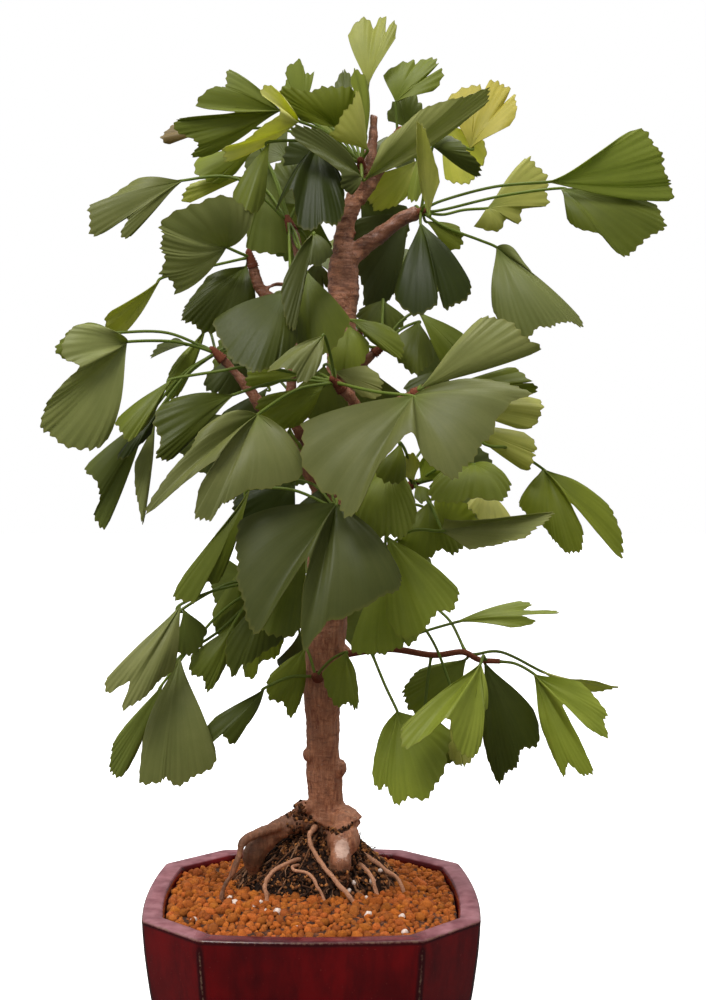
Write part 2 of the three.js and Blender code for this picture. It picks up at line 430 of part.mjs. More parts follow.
// Closed skin over rings of equal point count, each end closed by a fan about its middle.
function loft(rings) {
  const count = rings[0].length;
  const middles = count > 3 ? [mean(rings[0]), mean(rings[rings.length - 1])] : [];
  const vertices = [...rings.flat(), ...middles];
  const first = vertices.length - 2;
  const last = vertices.length - 1;
  const top = (rings.length - 1) * count;
  const faces = count === 3 ? [[0, 2, 1], [top, top + 1, top + 2]] : [];
  for (let j = 0; j < count; j++) {
    const k = (j + 1) % count;
    if (count > 3) {
      faces.push([first, k, j], [last, top + j, top + k]);
    }
    for (let i = 0; i < rings.length - 1; i++) {
      const a = i * count;
      const b = a + count;
      faces.push([a + j, a + k, b + k], [a + j, b + k, b + j]);
    }
  }
  return closedSolid(vertices, faces);
}

function tube(points, radii, sides) {
  const rings = [];
  const side = new THREE.Vector3(0.31, 0.77, 0.56);
  points.forEach((point, i) => {
    const ahead = points[Math.min(i + 1, points.length - 1)];
    const behind = points[Math.max(i - 1, 0)];
    const along = ahead.clone().sub(behind).normalize();
    side.sub(along.clone().multiplyScalar(side.dot(along))).normalize();
    const up = along.clone().cross(side);
    const ring = [];
    for (let j = 0; j < sides; j++) {
      const angle = (2 * Math.PI * j) / sides;
      ring.push(point.clone()
        .addScaledVector(side, Math.cos(angle) * radii[i])
        .addScaledVector(up, Math.sin(angle) * radii[i]));
    }
    rings.push(ring);
  });
  return loft(rings);
}

// A tapered limb, grown all round and at both ends where a clearance copy is wanted.
function limb(rows, grow, sides) {
  const points = rows.map((row) => place(row));
  const last = points.length - 1;
  const startward = points[0].clone().sub(points[1]).normalize();
  const endward = points[last].clone().sub(points[last - 1]).normalize();
  points[0].addScaledVector(startward, grow);
  points[last].addScaledVector(endward, grow);
  return tube(points, rows.map((row) => row[3] + grow), sides);
}

function join(solids) {
  return solids.reduce((whole, solid) => whole.add(solid));
}

// The largest connected skin of a solid: crumbs that a cut leaves behind are dropped.
function largestBody(solid) {
  const mesh = solid.getMesh();
  const count = mesh.vertProperties.length / mesh.numProp;
  const parent = Array.from({ length: count }, (_, i) => i);
  const root = (i) => {
    while (parent[i] !== i) {
      parent[i] = parent[parent[i]];
      i = parent[i];
    }
    return i;
  };
  const tris = mesh.triVerts;
  for (let t = 0; t < tris.length; t += 3) {
    parent[root(tris[t + 1])] = root(tris[t]);
    parent[root(tris[t + 2])] = root(tris[t]);
  }
  const size = new Map();
  for (let t = 0; t < tris.length; t += 3) {
    size.set(root(tris[t]), (size.get(root(tris[t])) ?? 0) + 1);
  }
  const keep = [...size].sort((a, b) => b[1] - a[1])[0][0];
  const kept = [];
  for (let t = 0; t < tris.length; t += 3) {
    if (root(tris[t]) === keep) {
      kept.push(tris[t], tris[t + 1], tris[t + 2]);
    }
  }
  const geometry = new THREE.BufferGeometry();
  geometry.setAttribute("position", new THREE.BufferAttribute(Float32Array.from(mesh.vertProperties), 3));
  geometry.setIndex(kept);
  return geometry;
}

// ---- pot ----------------------------------------------------------------------------------------
// Square of the given half width with cut corners, each long side bowed out slightly.
function potRing(z, half) {
  const flat = half * (1 - POT_CUT);
  const corner = (half + flat) / 2;
  const ring = [];
  for (let side = 0; side < 4; side++) {
    const turn = (side * Math.PI) / 2;
    for (const [x, y] of [[half, -flat], [half + POT_SIDE_BOW, 0], [half, flat], [corner, corner]]) {
      ring.push(new THREE.Vector3(
        x * Math.cos(turn) - y * Math.sin(turn),
        (x * Math.sin(turn) + y * Math.cos(turn)) * POT_DEPTH,
        z
      ));
    }
  }
  return ring;
}

function potShell() {
  let shell = loft([...POT_OUTSIDE, ...POT_LIP, ...POT_INSIDE].map(([z, half]) => potRing(z, half)));
  for (const x of [-DRAIN_X, DRAIN_X]) {
    const hole = new THREE.CylinderGeometry(DRAIN_RADIUS, DRAIN_RADIUS, 4 * POT_FLOOR, DRAIN_SIDES);
    hole.rotateX(Math.PI / 2);
    hole.translate(x, 0, 0);
    const groove = new THREE.BoxGeometry(GROOVE_WIDTH, 2 * POT_OUTSIDE.at(-1)[1], GROOVE_DEPTH * 2);
    groove.translate(x, 0, 0);
    shell = shell.subtract(geometrySolid(hole)).subtract(geometrySolid(groove));
  }
  return shell;
}

function drainScreen() {
  const opening = (SCREEN_SIZE - SCREEN_BAR * (SCREEN_OPENINGS + 1)) / SCREEN_OPENINGS;
  let plate = geometrySolid(new THREE.BoxGeometry(SCREEN_SIZE, SCREEN_SIZE, SCREEN_THICKNESS));
  for (let i = 0; i < SCREEN_OPENINGS; i++) {
    for (let j = 0; j < SCREEN_OPENINGS; j++) {
      const hole = new THREE.BoxGeometry(opening, opening, 2 * SCREEN_THICKNESS);
      const offset = (SCREEN_OPENINGS - 1) / 2;
      hole.translate((i - offset) * (opening + SCREEN_BAR), (j - offset) * (opening + SCREEN_BAR), 0);
      plate = plate.subtract(geometrySolid(hole));
    }
  }
  return largestBody(plate);
}

// ---- soil and root mound ------------------------------------------------------------------------
function insideHalf(z) {
  const rows = [...POT_INSIDE].reverse();
  for (let i = 0; i < rows.length - 1; i++) {
    const [z0, h0] = rows[i];
    const [z1, h1] = rows[i + 1];
    if (z <= z1) {
      return h0 + ((h1 - h0) * (z - z0)) / (z1 - z0);
    }
  }
  return rows[rows.length - 1][1];
}

function soilRing(z, share) {
  const outline = potRing(z, insideHalf(z) - GAP);
  return Array.from({ length: SOIL_SPOKES }, (_, j) => {
    const at = (j / SOIL_SPOKES) * outline.length;
    const k = Math.floor(at);
    return outline[k].clone().lerp(outline[(k + 1) % outline.length], at - k)
      .multiply(new THREE.Vector3(share, share, 1));
  });
}

// Granules show as a jittered top surface of humps and hollows by turns.
function soilBody() {
  const rings = [soilRing(SOIL_BOTTOM, 1)];
  for (let i = 0; i < SOIL_RINGS; i++) {
    const share = 1 - i / SOIL_RINGS;
    const ring = soilRing(SOIL_EDGE_HEIGHT, share);
    ring.forEach((p, j) => {
      const hump = (i + j) % 2 ? 1 : -0.6;
      p.z += SOIL_CROWN * (1 - share * share) + SOIL_GRAIN * hump * (0.75 + 0.25 * noise(i, j));
      if (i > 0) {
        p.x += SOIL_JITTER * noise(i, j, 1);
        p.y += SOIL_JITTER * noise(i, j, 2);
      }
    });
    rings.push(ring);
  }
  return loft(rings);
}

function moundBody(grow) {
  const foot = MOUND_RINGS[0][1];
  const rings = MOUND_RINGS.map(([z, half], i) => {
    const buried = i < MOUND_BURIED_RINGS;
    const ring = [];
    for (let j = 0; j < MOUND_SPOKES; j++) {
      const angle = (2 * Math.PI * j) / MOUND_SPOKES;
      const radius = half * (1 + 0.09 * noise(i, j)) + grow;
      ring.push(new THREE.Vector3(
        MOUND_CENTRE[0] + MOUND_LEAN * (1 - half / foot) + Math.cos(angle) * radius,
        MOUND_CENTRE[1] + Math.sin(angle) * radius * MOUND_DEPTH,
        buried ? z : z + 2 * noise(i, j, 3) + grow
      ));
    }
    return ring;
  });
  return loft(rings);
}

// ---- wood ---------------------------------------------------------------------------------------
function woodBody(grow) {
  const parts = [limb(TRUNK, grow, TRUNK_SIDES)];
  for (const rows of Object.values(BRANCHES)) {
    parts.push(limb(rows, grow, BRANCH_SIDES));
  }
  for (const rows of [...TWIGS, ...SURFACE_ROOTS]) {
    parts.push(limb(rows, grow, ROOT_SIDES));
  }
  for (const [x, y, z, rx, ry, rz] of BURLS) {
    const ball = new THREE.IcosahedronGeometry(1, rx > LARGE_BURL ? 1 : 0);
    ball.scale(rx + grow, ry + grow, rz + grow);
    const centre = place([x, y, z]);
    ball.translate(centre.x, centre.y, centre.z);
    parts.push(geometrySolid(ball));
  }
  return join(parts);
}

// ---- leaves -------------------------------------------------------------------------------------
// Points of the blade's outer edge, from its left corner to its right one.
function edgeStops([, [left, middle, right], edge]) {
  return edge.map(([x, z], i) => {
    const t = -1 + (2 * i) / (edge.length - 1);
    const y = (left * t * (t - 1)) / 2 + middle * (1 - t * t) + (right * t * (t + 1)) / 2;
    return place([x, y, z]);
  });
}

function edgeSlope(stops, i) {
  const last = stops.length - 1;
  if (i > 0 && i < last) {
    return stops[i + 1].clone().sub(stops[i - 1]).multiplyScalar(0.5);
  }
  const inward = i === 0 ? 1 : -1;
  return stops[i].clone().multiplyScalar(-1.5)
    .addScaledVector(stops[i + inward], 2)
    .addScaledVector(stops[i + 2 * inward], -0.5)
    .multiplyScalar(inward);
}

// Where a smooth curve through the stops, which lie at equal steps of t from -1 to 1, is at t.
function edgePoint(stops, t) {
  const at = ((t + 1) / 2) * (stops.length - 1);
  const first = Math.min(Math.max(Math.floor(at), 0), stops.length - 2);
  const u = at - first;
  return stops[first].clone().multiplyScalar((1 + 2 * u) * (1 - u) ** 2)
    .addScaledVector(edgeSlope(stops, first), u * (1 - u) ** 2)
    .addScaledVector(stops[first + 1], u ** 2 * (3 - 2 * u))
    .addScaledVector(edgeSlope(stops, first + 1), u ** 2 * (u - 1));
}

function notchHalfWidth(depth) {
  return 0.05 + 0.16 * depth;
}

// Triangles between two rows of points that run from -1 to 1, each with its own steps.
function zip(near, nearAt, far, farAt) {
  const faces = [];
  let i = 0;
  let j = 0;
  while (i < near.length - 1 || j < far.length - 1) {
    if ((farAt[j + 1] ?? Infinity) <= (nearAt[i + 1] ?? Infinity)) {
      faces.push([near[i], far[j], far[j + 1]]);
      j++;
    } else {
      faces.push([near[i], far[j], near[i + 1]]);
      i++;
    }
  }
  return faces;
}

// How far out the wavy edge lies at t, as a share of the plain fan.
function edgeReach(t, notches, seed) {
  let reach = 1 - 0.09 * Math.abs(t) ** 7;
  reach *= 1 + 0.022 * Math.sin(11 * t + seed) + 0.012 * Math.sin(29 * t + 2 * seed);
  for (const [at, depth] of notches) {
    reach *= 1 - depth * Math.max(0, 1 - Math.abs(t - at) / notchHalfWidth(depth));
  }
  return reach;
}

function leafFrame(row) {
  const base = place(row[0]);
  const stops = edgeStops(row);
  const heading = mean(stops).sub(base);
  const length = heading.length();
  heading.normalize();
  const face = stops.at(-1).clone().sub(stops[0]).cross(heading).normalize();
  const turn = face.y > 0 ? -1 : 1;
  const side = heading.clone().cross(face);
  face.multiplyScalar(turn);
  return { base, stops, heading, side, face, turn, length };
}

// Width of the blade at s, against straight sides from its base to its corners.
function bladeWidth(s) {
  if (s < MIDDLE_ROW) {
    return LEAF_NECK + (LEAF_BELLY - LEAF_NECK) * Math.sin((Math.PI * s) / (2 * MIDDLE_ROW));
  }
  return LEAF_BELLY - (LEAF_BELLY - 1) * ((s - MIDDLE_ROW) / (1 - MIDDLE_ROW)) ** 2;
}

function leafPoint(row, frame, seed, t, s) {
  const [, , , notches, bow] = row;
  const out = edgePoint(frame.stops, t).sub(frame.base);
  out.addScaledVector(frame.side, (bladeWidth(s) - 1) * out.dot(frame.side));
  const ruffle = 0.022 * frame.length * s * s * Math.sin(5.2 * t + seed);
  return out.multiplyScalar(s * edgeReach(t, notches, seed))
    .add(frame.base)
    .addScaledVector(frame.face, 3.2 * bow * s * (1 - s) + ruffle);
}

function acrossSteps(notches, count) {
  const steps = [];
  for (const [at, depth] of notches) {
    steps.push(at - notchHalfWidth(depth), at, at + notchHalfWidth(depth));
  }
  for (let i = 0; i <= count; i++) {
    const t = -1 + (2 * i) / count;
    if (steps.every((other) => Math.abs(other - t) > 0.55 / count)) {
      steps.push(t);
    }
  }
  return steps.sort((a, b) => a - b);
}

// The steps across at which the stops of a traced edge lie.
function stopSteps({ stops }) {
  return stops.map((_, i) => -1 + (2 * i) / (stops.length - 1));
}

// The same for the blade's middle row, which keeps only the ends, the notches and every other stop.
function middleSteps({ base, stops }) {
  const reach = stops.map((stop) => stop.distanceTo(base));
  const last = stops.length - 1;
  const notch = (i) => i > 0 && i < last && reach[i] < reach[i - 1] && reach[i] < reach[i + 1];
  const beside = (i) => notch(i - 1) || notch(i + 1);
  return stopSteps({ stops }).filter((_, i) => i === 0 || i === last || notch(i) || (i % 2 === 0 && !beside(i)));
}

// The two faces of the blade at t across and s outwards.
function leafFacePoints(row, frame, seed, t, s) {
  const point = leafPoint(row, frame, seed, t, s);
  const outward = point.clone().sub(leafPoint(row, frame, seed, t, s - 0.04));
  const before = leafPoint(row, frame, seed, Math.max(t - 0.03, -1), s);
  const sideways = leafPoint(row, frame, seed, Math.min(t + 0.03, 1), s).sub(before);
  const normal = sideways.cross(outward).normalize();
  if (normal.dot(frame.face) < 0) {
    normal.negate();
  }
  normal.multiplyScalar(LEAF_THICKNESS / 2);
  return [point.clone().add(normal), point.clone().sub(normal)];
}

// The petiole's rows run from the spur to the blade's base: [left, right, back] about each stop.
function petioleRings(row, frame, start) {
  const stops = [...(start ? [start] : []), ...row.slice(5).map(place), frame.base];
  if (stops.length === 2) {
    const middle = stops[0].clone().lerp(stops[1], 0.5);
    middle.z += PETIOLE_ARCH * stops[0].distanceTo(stops[1]);
    stops.splice(1, 0, middle);
  }
  const side = frame.side.clone();
  const rings = [];
  for (let i = stops.length - 1; i >= 0; i--) {
    const ahead = stops[i + 1] ?? frame.base.clone().add(frame.heading);
    const along = ahead.clone().sub(stops[Math.max(i - 1, 0)]).normalize();
    side.sub(along.clone().multiplyScalar(side.dot(along))).normalize();
    const outward = side.clone().cross(along);
    rings.unshift([
      stops[i].clone().addScaledVector(side, -PETIOLE_RADIUS),
      stops[i].clone().addScaledVector(side, PETIOLE_RADIUS),
      stops[i].clone().addScaledVector(outward, -1.5 * PETIOLE_RADIUS * frame.turn)
    ]);
  }
  return rings;
}

// One closed leaf: a three-sided petiole that opens into a thin blade, front and back split alike.
function leafBody(row, seed, start) {
  const frame = leafFrame(row);
  const large = frame.length > LARGE_LEAF_LENGTH;
  const vertices = [];
  const put = (point) => vertices.push(point) - 1;
  const rows = petioleRings(row, frame, start).map((ring) => {
    const [left, right, back] = ring.map(put);
    return { frontAt: [-1, 1], front: [left, right], backAt: [-1, 0, 1], back: [left, back, right] };
  });
  const traced = frame.stops.length > 3;
  const plain = large ? [-1, -0.5, 0, 0.5, 1] : [-1, -0.35, 0.35, 1];
  const middle = traced ? middleSteps(frame) : plain;
  const edge = traced ? stopSteps(frame) : acrossSteps(row[3], large ? LARGE_LEAF_STEPS : SMALL_LEAF_STEPS);
  for (const [steps, s] of [[middle, MIDDLE_ROW], [edge, 1]]) {
    const pairs = steps.map((t) => leafFacePoints(row, frame, seed, t, s).map(put));
    const front = pairs.map(([point]) => point);
    const back = pairs.map(([, point]) => point);
    rows.push({ frontAt: steps, front, backAt: steps, back });
  }
  const faces = [[rows[0].front[0], rows[0].front[1], rows[0].back[1]]];
  for (let i = 0; i < rows.length - 1; i++) {
    const [near, far] = [rows[i], rows[i + 1]];
    faces.push(...zip(near.front, near.frontAt, far.front, far.frontAt));
    faces.push(...zip(near.back, near.backAt, far.back, far.backAt).map(([a, b, c]) => [a, c, b]));
    faces.push([far.front[0], near.front[0], near.back[0]], [far.front[0], near.back[0], far.back[0]]);
    faces.push([near.front.at(-1), far.front.at(-1), far.back.at(-1)]);
    faces.push([near.front.at(-1), far.back.at(-1), near.back.at(-1)]);
  }
  const rim = rows.at(-1);
  for (let j = 0; j < edge.length - 1; j++) {
    const [f, g, b, c] = [rim.front[j], rim.front[j + 1], rim.back[j], rim.back[j + 1]];
    faces.push([g, f, b], [g, b, c]);
  }
  const sound = faces.filter(([a, b, c]) => a !== b && b !== c && c !== a);
  return closedSolid(vertices, sound);
}

function hubCentre(rows) {
  const end = place(rows[rows.length - 1]);
  const before = place(rows[rows.length - 2]);
  return end.clone().addScaledVector(end.clone().sub(before).normalize(), HUB_REACH);
}

function spray(name, leaves, seed) {
  const branch = BRANCHES[name];
  const parts = [];
  let start = null;
  if (branch) {
    start = hubCentre(branch);
    const hub = new THREE.OctahedronGeometry(HUB_RADIUS, 0);
    hub.translate(start.x, start.y, start.z);
    parts.push(geometrySolid(hub));
  } else {
    parts.push(limb(SHOOT, 0, BRANCH_SIDES));
  }
  leaves.forEach((row, i) => {
    parts.push(leafBody(row, seed + LEAF_SEED_STEP * i, start));
  });
  return join(parts);
}

// ---- assembly -----------------------------------------------------------------------------------
const MATERIALS = {
  glaze: new THREE.MeshStandardMaterial({ color: 0x5a0a12, roughness: 0.18, metalness: 0 }),
  screen: new THREE.MeshStandardMaterial({ color: 0x1c1c1c, roughness: 0.6, metalness: 0 }),
  akadama: new THREE.MeshStandardMaterial({ color: 0xb8622a, roughness: 0.95, metalness: 0 }),
  roots: new THREE.MeshStandardMaterial({ color: 0x2e2016, roughness: 0.95, metalness: 0 }),
  bark: new THREE.MeshStandardMaterial({ color: 0x7a5545, roughness: 0.85, metalness: 0 }),
  leaf: new THREE.MeshStandardMaterial({ color: 0x4a6a34, roughness: 0.5, metalness: 0 })
};

const bonsai = new THREE.Group();

function add(name, geometry, material) {
  const mesh = new THREE.Mesh(geometry, MATERIALS[material].clone());
  mesh.name = name;
  bonsai.add(mesh);
  return mesh;
}

const wood = woodBody(0);
const woodClear = woodBody(GAP);
const mound = moundBody(0).subtract(woodClear);
const soil = soilBody().subtract(moundBody(GAP)).subtract(woodClear);

add("pot", largestBody(potShell()), "glaze");
for (const [name, x] of [["drainage_screen_left", -DRAIN_X], ["drainage_screen_right", DRAIN_X]]) {
  add(name, drainScreen(), "screen").position.set(x, 0, POT_FLOOR + SCREEN_THICKNESS / 2 + 0.25);
}
add("akadama_soil", largestBody(soil), "akadama");
add("fibrous_root_mound", largestBody(mound), "roots");
add("trunk", largestBody(wood), "bark");
Object.entries(SPRAYS).forEach(([name, leaves], i) => {
  add(`leaves_${name}`, largestBody(spray(name, leaves, SPRAY_SEED_STEP * i).subtract(woodClear)), "leaf");
});

export default bonsai;
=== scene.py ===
# Ginkgo bonsai in a square glazed pot with cut corners.
# Tables and builders are in millimetres; points become metres as each mesh is made.
import math

import bmesh
import bpy
import numpy as np
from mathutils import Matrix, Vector, noise
from mathutils.bvhtree import BVHTree


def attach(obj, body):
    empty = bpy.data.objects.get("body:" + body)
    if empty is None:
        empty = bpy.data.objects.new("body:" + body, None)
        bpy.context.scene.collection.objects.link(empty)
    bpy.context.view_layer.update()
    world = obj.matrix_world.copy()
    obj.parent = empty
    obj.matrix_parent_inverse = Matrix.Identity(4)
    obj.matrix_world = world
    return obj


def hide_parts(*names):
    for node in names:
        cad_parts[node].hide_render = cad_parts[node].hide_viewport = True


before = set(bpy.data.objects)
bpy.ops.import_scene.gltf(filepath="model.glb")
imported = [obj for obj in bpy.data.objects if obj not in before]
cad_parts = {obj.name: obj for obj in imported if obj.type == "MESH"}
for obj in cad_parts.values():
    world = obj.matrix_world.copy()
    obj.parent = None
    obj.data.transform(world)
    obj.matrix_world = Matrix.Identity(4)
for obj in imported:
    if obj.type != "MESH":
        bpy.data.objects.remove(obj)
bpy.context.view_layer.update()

MM = 0.001
SEED = 20
rng = np.random.default_rng(SEED)
noise.seed_set(SEED)  # without it noise_vector differs from run to run


def add_object(name, data):
    """A new object of the scene that holds the data."""
    made = bpy.data.objects.new(name, data)
    bpy.context.scene.collection.objects.link(made)
    return made


# ---- camera: the plant's tables are a front elevation seen from here -----------------------------
EYE_X = 5
EYE_Z = 341
EYE_DISTANCE = 840
SENSOR = 36.0
FOCAL_SHARE = 1.303  # focal length as a share of the picture's long side
SHIFT_X = 0.0334  # the plant stands a little left of the picture's middle

camera = add_object("camera", bpy.data.cameras.new("camera"))
bpy.context.scene.camera = camera
camera.location = (EYE_X * MM, -EYE_DISTANCE * MM, EYE_Z * MM)
camera.rotation_euler = (math.pi / 2, 0, 0)
camera.data.sensor_width = SENSOR
camera.data.lens = FOCAL_SHARE * SENSOR
camera.data.shift_x = SHIFT_X
camera.data.clip_start = 0.01

# ---- pot ----------------------------------------------------------------------------------------
# Profiles are rows of z and half width.
POT_CUT = 0.37  # length of a cut corner as a share of the half width
POT_DEPTH = 0.955  # depth of the pot as a share of its width
POT_OUTSIDE = [[0, 84.8], [1.5, 86.3], [16, 90.8], [40, 96.4], [66, 100], [82, 101.4]]
POT_LIP = [
    [86.4, 101.6], [88.6, 101.8], [89.5, 101.3], [89.9, 100.4], [89.9, 97.3], [90, 94.3], [89.9, 92],
    [89.5, 90.7], [88.6, 89.6], [87, 88.8]
]
POT_INSIDE = [[80, 88.6], [50, 86.8], [10, 78.8]]
POT_SIDE_BOW = 3.6
POT_FLOOR = 10
EDGE_ROUNDING = 3.4
CORNER_STEPS = 7
SIDE_STEPS = 15
INSIDE_TOP = [88.4, 88.8]
RIM_EDGE = (89.0, 101.2)  # where the glaze runs thin on the lip's outer edge, with a band of painted shade about it
RIM_EDGE_SPREAD = 1.3
LIP_ABOVE = 89.4
BARE_BELOW = 1.2
THIN_OUTSIDE = 0.84  # how thin the glaze is on the corners, and how strong the painted shade about them
THIN_INSIDE = 0.3
DRAIN_X = 40
DRAIN_RADIUS = 9
GROOVE_WIDTH = 14
GROOVE_DEPTH = 4

# ---- soil and mound -----------------------------------------------------------------------------
SOIL_EDGE_HEIGHT = 84.5
SOIL_CROWN = 4
MOUND_CENTRE = (2, 24)
MOUND_RINGS = [[66, 58], [80, 57], [90, 54], [100, 44], [110, 31], [120, 20], [127, 10]]  # z, radius
MOUND_TOP = 128
MOUND_LEAN = 8
MOUND_DEPTH = 0.72
GRANULES = 1900
GRANULE_TRIES = 60000
GRANULE_SIZES = [(1.6, 2.4), (2.3, 3.3), (3.2, 4.4)]  # radii of the small, middle and large ones
GRANULE_SHARES = [0.4, 0.4, 0.2]
GRANULE_SPACING = 0.8  # of touching balls, because uneven grains lie closer
GRANULE_COLOUR = (176, 96, 36)
UNDER_MOUND = 0.86  # share of the mound's radius at the soil within which no granules lie
MOUND_ROOTS = 130
ROOT_TOPS = (92, 129)
ROOT_ENDS = (74, 84)
SHORT_ROOT_SHARE = 0.35  # of the roots, those that end on the mound
SHORT_ROOT_DROP = (8, 22)
ROOT_RADII = [0.4, 0.6, 0.9]
ROOT_RADIUS_SHARES = [0.5, 0.35, 0.15]
ROOT_HAIRS = 360
HAIR_HEIGHTS = (84, 126)
HAIR_LENGTHS = (4, 10)
HAIR_RADIUS = 0.3
MOUND_CRUMBS = 2400
CRUMB_HEIGHTS = (84, 122)
# Crumbs about the trunk's foot, by their x and z in the elevation.
FOOT_CRUMBS = 620
FOOT_X = (-16, 26)
FOOT_HEIGHTS = (106, 147)  # left of the trunk, and up to the bark's end on it
TRUNK_LEFT = -4
KNEE_LEFT = 9
KNEE_FOOT_HEIGHTS = (86, 102)
KNEE_FOOT_SHARE = 0.7
# Angles of the mound's front right, its front left and its back, and their shares of the crumbs.
MOUND_SIDES = [(-1.5, 0.5), (-3.0, -1.5), (0.5, math.pi)]
MOUND_SIDE_SHARES = [0.45, 0.4, 0.15]
MOUND_LEVELS = [67, *np.linspace(74, 131, 40)]
MOUND_COLUMNS = 120
MOUND_COLOUR = (34, 21, 14)
CRUMB_COLOURS = [(58, 37, 23), (116, 72, 42), (178, 118, 66)]
ROOT_COLOURS = [(104, 68, 44), (136, 94, 64), (70, 44, 28), (52, 32, 20), (164, 122, 90)]
SURFACE_ROOT_COLOUR = (184, 134, 102)
PUMICE_COLOUR = (226, 208, 194)
SIGHT_DEPTHS = (-88.0, 60.0, 0.5)  # first depth, last depth and step of a line of sight
# White pumice bits, as (x, z) in the elevation.
PUMICE = [
    (-52, 91), (-44, 86), (-53, 83), (-33, 80), (-37, 78), (-22, 74), (-76, 69), (-10, 65), (27, 93),
    (24, 88), (39, 94), (44, 101), (35, 83), (36, 72), (58, 71), (60, 61), (-50, 80), (-30, 75)
]

# ---- leaves -------------------------------------------------------------------------------------
LEAF_THICKNESS = 0.5
LOBE_WIDTH = 8.6
LOBE_DEPTH = 1.3
TOOTH_WIDTH = 3.1
TOOTH_DEPTH = 0.28
PLEAT_WIDTH = 19
PLEAT_HEIGHT = 0.16
# Widths of a blade near its base and at its middle row, against straight sides.
LEAF_NECK = 0.66
LEAF_BELLY = 1.05
MIDDLE_ROW = 0.62
LARGE_LEAF_LENGTH = 48
FINE_COLUMNS, COARSE_COLUMNS = 97, 45  # points across a large or long-edged blade, and a small one
FINE_ROWS, COARSE_ROWS = 16, 10
TRUNK_MIDDLE = (14, 5)
PETIOLE_ARCH = 0.1
PETIOLE_RADIUS = 0.95
SPUR_RINGS = 13
SPUR_RING_STEP = 0.85
SPUR_SINK = 4
SPUR_RADIUS = 3.7
SPUR_TAPER = 0.14
SPUR_RING_DEPTH = 0.09
SPUR_LENGTH = 8
SPUR_TIP_RADIUS = 0.5
HUB_REACH = 2.6
SPRAY_SEED_STEP = 3.1
LEAF_SEED_STEP = 1.7
# Display colours, 0 to 255, of the upper face of a leaf. The deeper and paler ones also serve as painted
# shade and painted light.
LEAF_COLOURS = {
    "deep": (48, 57, 12), "dark": (72, 80, 20), "mid": (99, 108, 33), "olive": (115, 124, 32),
    "slate": (80, 86, 38), "grey": (109, 113, 60), "sage": (138, 141, 82), "young": (138, 148, 52),
    "pale": (168, 168, 84), "lime": (212, 208, 130), "straw": (182, 168, 66), "brown": (126, 108, 68)
}
PETIOLE_COLOUR = (110, 126, 48)
SHOOT_COLOUR = (120, 66, 44)

# ---- wood: [x, depth, z, radius] along each piece ------------------------------------------------
TRUNK = [
    [16, 26, 92, 10], [14, 24, 112, 12], [10, 20, 140, 12.6], [7.5, 16, 170, 11.4], [7, 11, 200, 11.6],
    [7, 7, 230, 12.2], [9, 4, 260, 13], [10, 1, 320, 12.4], [15, 0, 380, 11.4], [19, 0, 430, 9.8],
    [19.6, 0, 456, 8.8], [20.4, 0, 474, 9.6], [20.4, 0, 490, 10.2], [20.6, 0, 500, 7.4],
    [20.4, 0, 511, 5.7], [23.4, 0, 523, 5.3], [27.4, 0, 535, 5.7], [36, 0, 558, 5.0], [39, 0, 572, 3.2],
    [40, 0, 589, 2.8]
]
BRANCHES = {
    "top": [[33, 0, 548, 4], [32, -9, 556, 3.4]],
    "knob": [[30, 0, 534, 5], [45, 3, 558, 4.4], [54, 5, 575, 3.6]],
    "right": [
        [20, 0, 494, 6.4], [31, -1, 502, 5.7], [43, -3, 511.5, 5.1], [58, -6, 522, 4.8], [68, -8, 526, 4]
    ],
    "left_inner": [
        [10, 0, 362, 4], [-12, -14, 395, 3.8], [-11, -18, 445, 3.4], [-8, -16, 480, 3.2], [-10, -14, 508, 3],
        [-14, -12, 518, 2.8]
    ],
    "left_upper": [
        [16, 0, 448, 4.4], [-8, -14, 461, 4], [-30, -22, 473, 3.6], [-36, -24, 485, 3.2], [-39, -26, 495, 3]
    ],
    "left_middle": [
        [9, 0, 342, 5], [-10, -10, 370, 4.4], [-26, -14, 391, 3.8], [-41, -16, 413, 3.2],
        [-53, -18, 427, 2.9], [-60, -19, 434, 2.7]
    ],
    "front_middle": [[13, -2, 362, 4.4], [28, -30, 388, 4], [27, -50, 404, 3.6], [17, -58, 415, 3.2]],
    "right_front": [[14, 0, 380, 4.6], [42, -26, 396, 4], [69, -46, 411, 3.2]],
    "right_inner": [[18, 0, 420, 4], [30, -2, 428, 3.4], [43, -4, 438, 3]],
    "right_lower": [[11, 0, 318, 4.4], [40, -14, 338, 3.8], [63, -24, 350, 3]],
    "front_lower": [[10, -2, 312, 4.2], [12, -22, 326, 3.6], [15, -34, 334, 3.2]],
    "centre_lower": [[9, 2, 286, 4.2], [30, -10, 300, 3.6], [45, -16, 308, 3]],
    "left_lower": [[9, 2, 262, 4.4], [-10, -5, 279, 3.8], [-24, -12, 289, 3.2]],
    "trunk_front": [[7, 8, 226, 4], [3, -10, 227, 3]],
    "back_top": [[24, 0, 512, 4.6], [18, 16, 530, 3.8], [14, 26, 542, 3]],
    "back_upper": [[20, 0, 430, 4.6], [26, 24, 440, 3.8], [30, 44, 448, 3]],
    "back_middle": [[15, 0, 378, 4.8], [4, 24, 392, 4], [-8, 44, 402, 3]],
    "back_right": [[11, 1, 316, 4.8], [34, 24, 330, 4], [52, 42, 338, 3]],
    "back_lower": [[9, 5, 250, 4.6], [-4, 28, 266, 3.8], [-12, 44, 274, 3]]
}

TWIGS = [[[-30, -22, 477, 1.5], [-24, -23, 480, 1.2], [-18, -23, 480, 1.1]]]
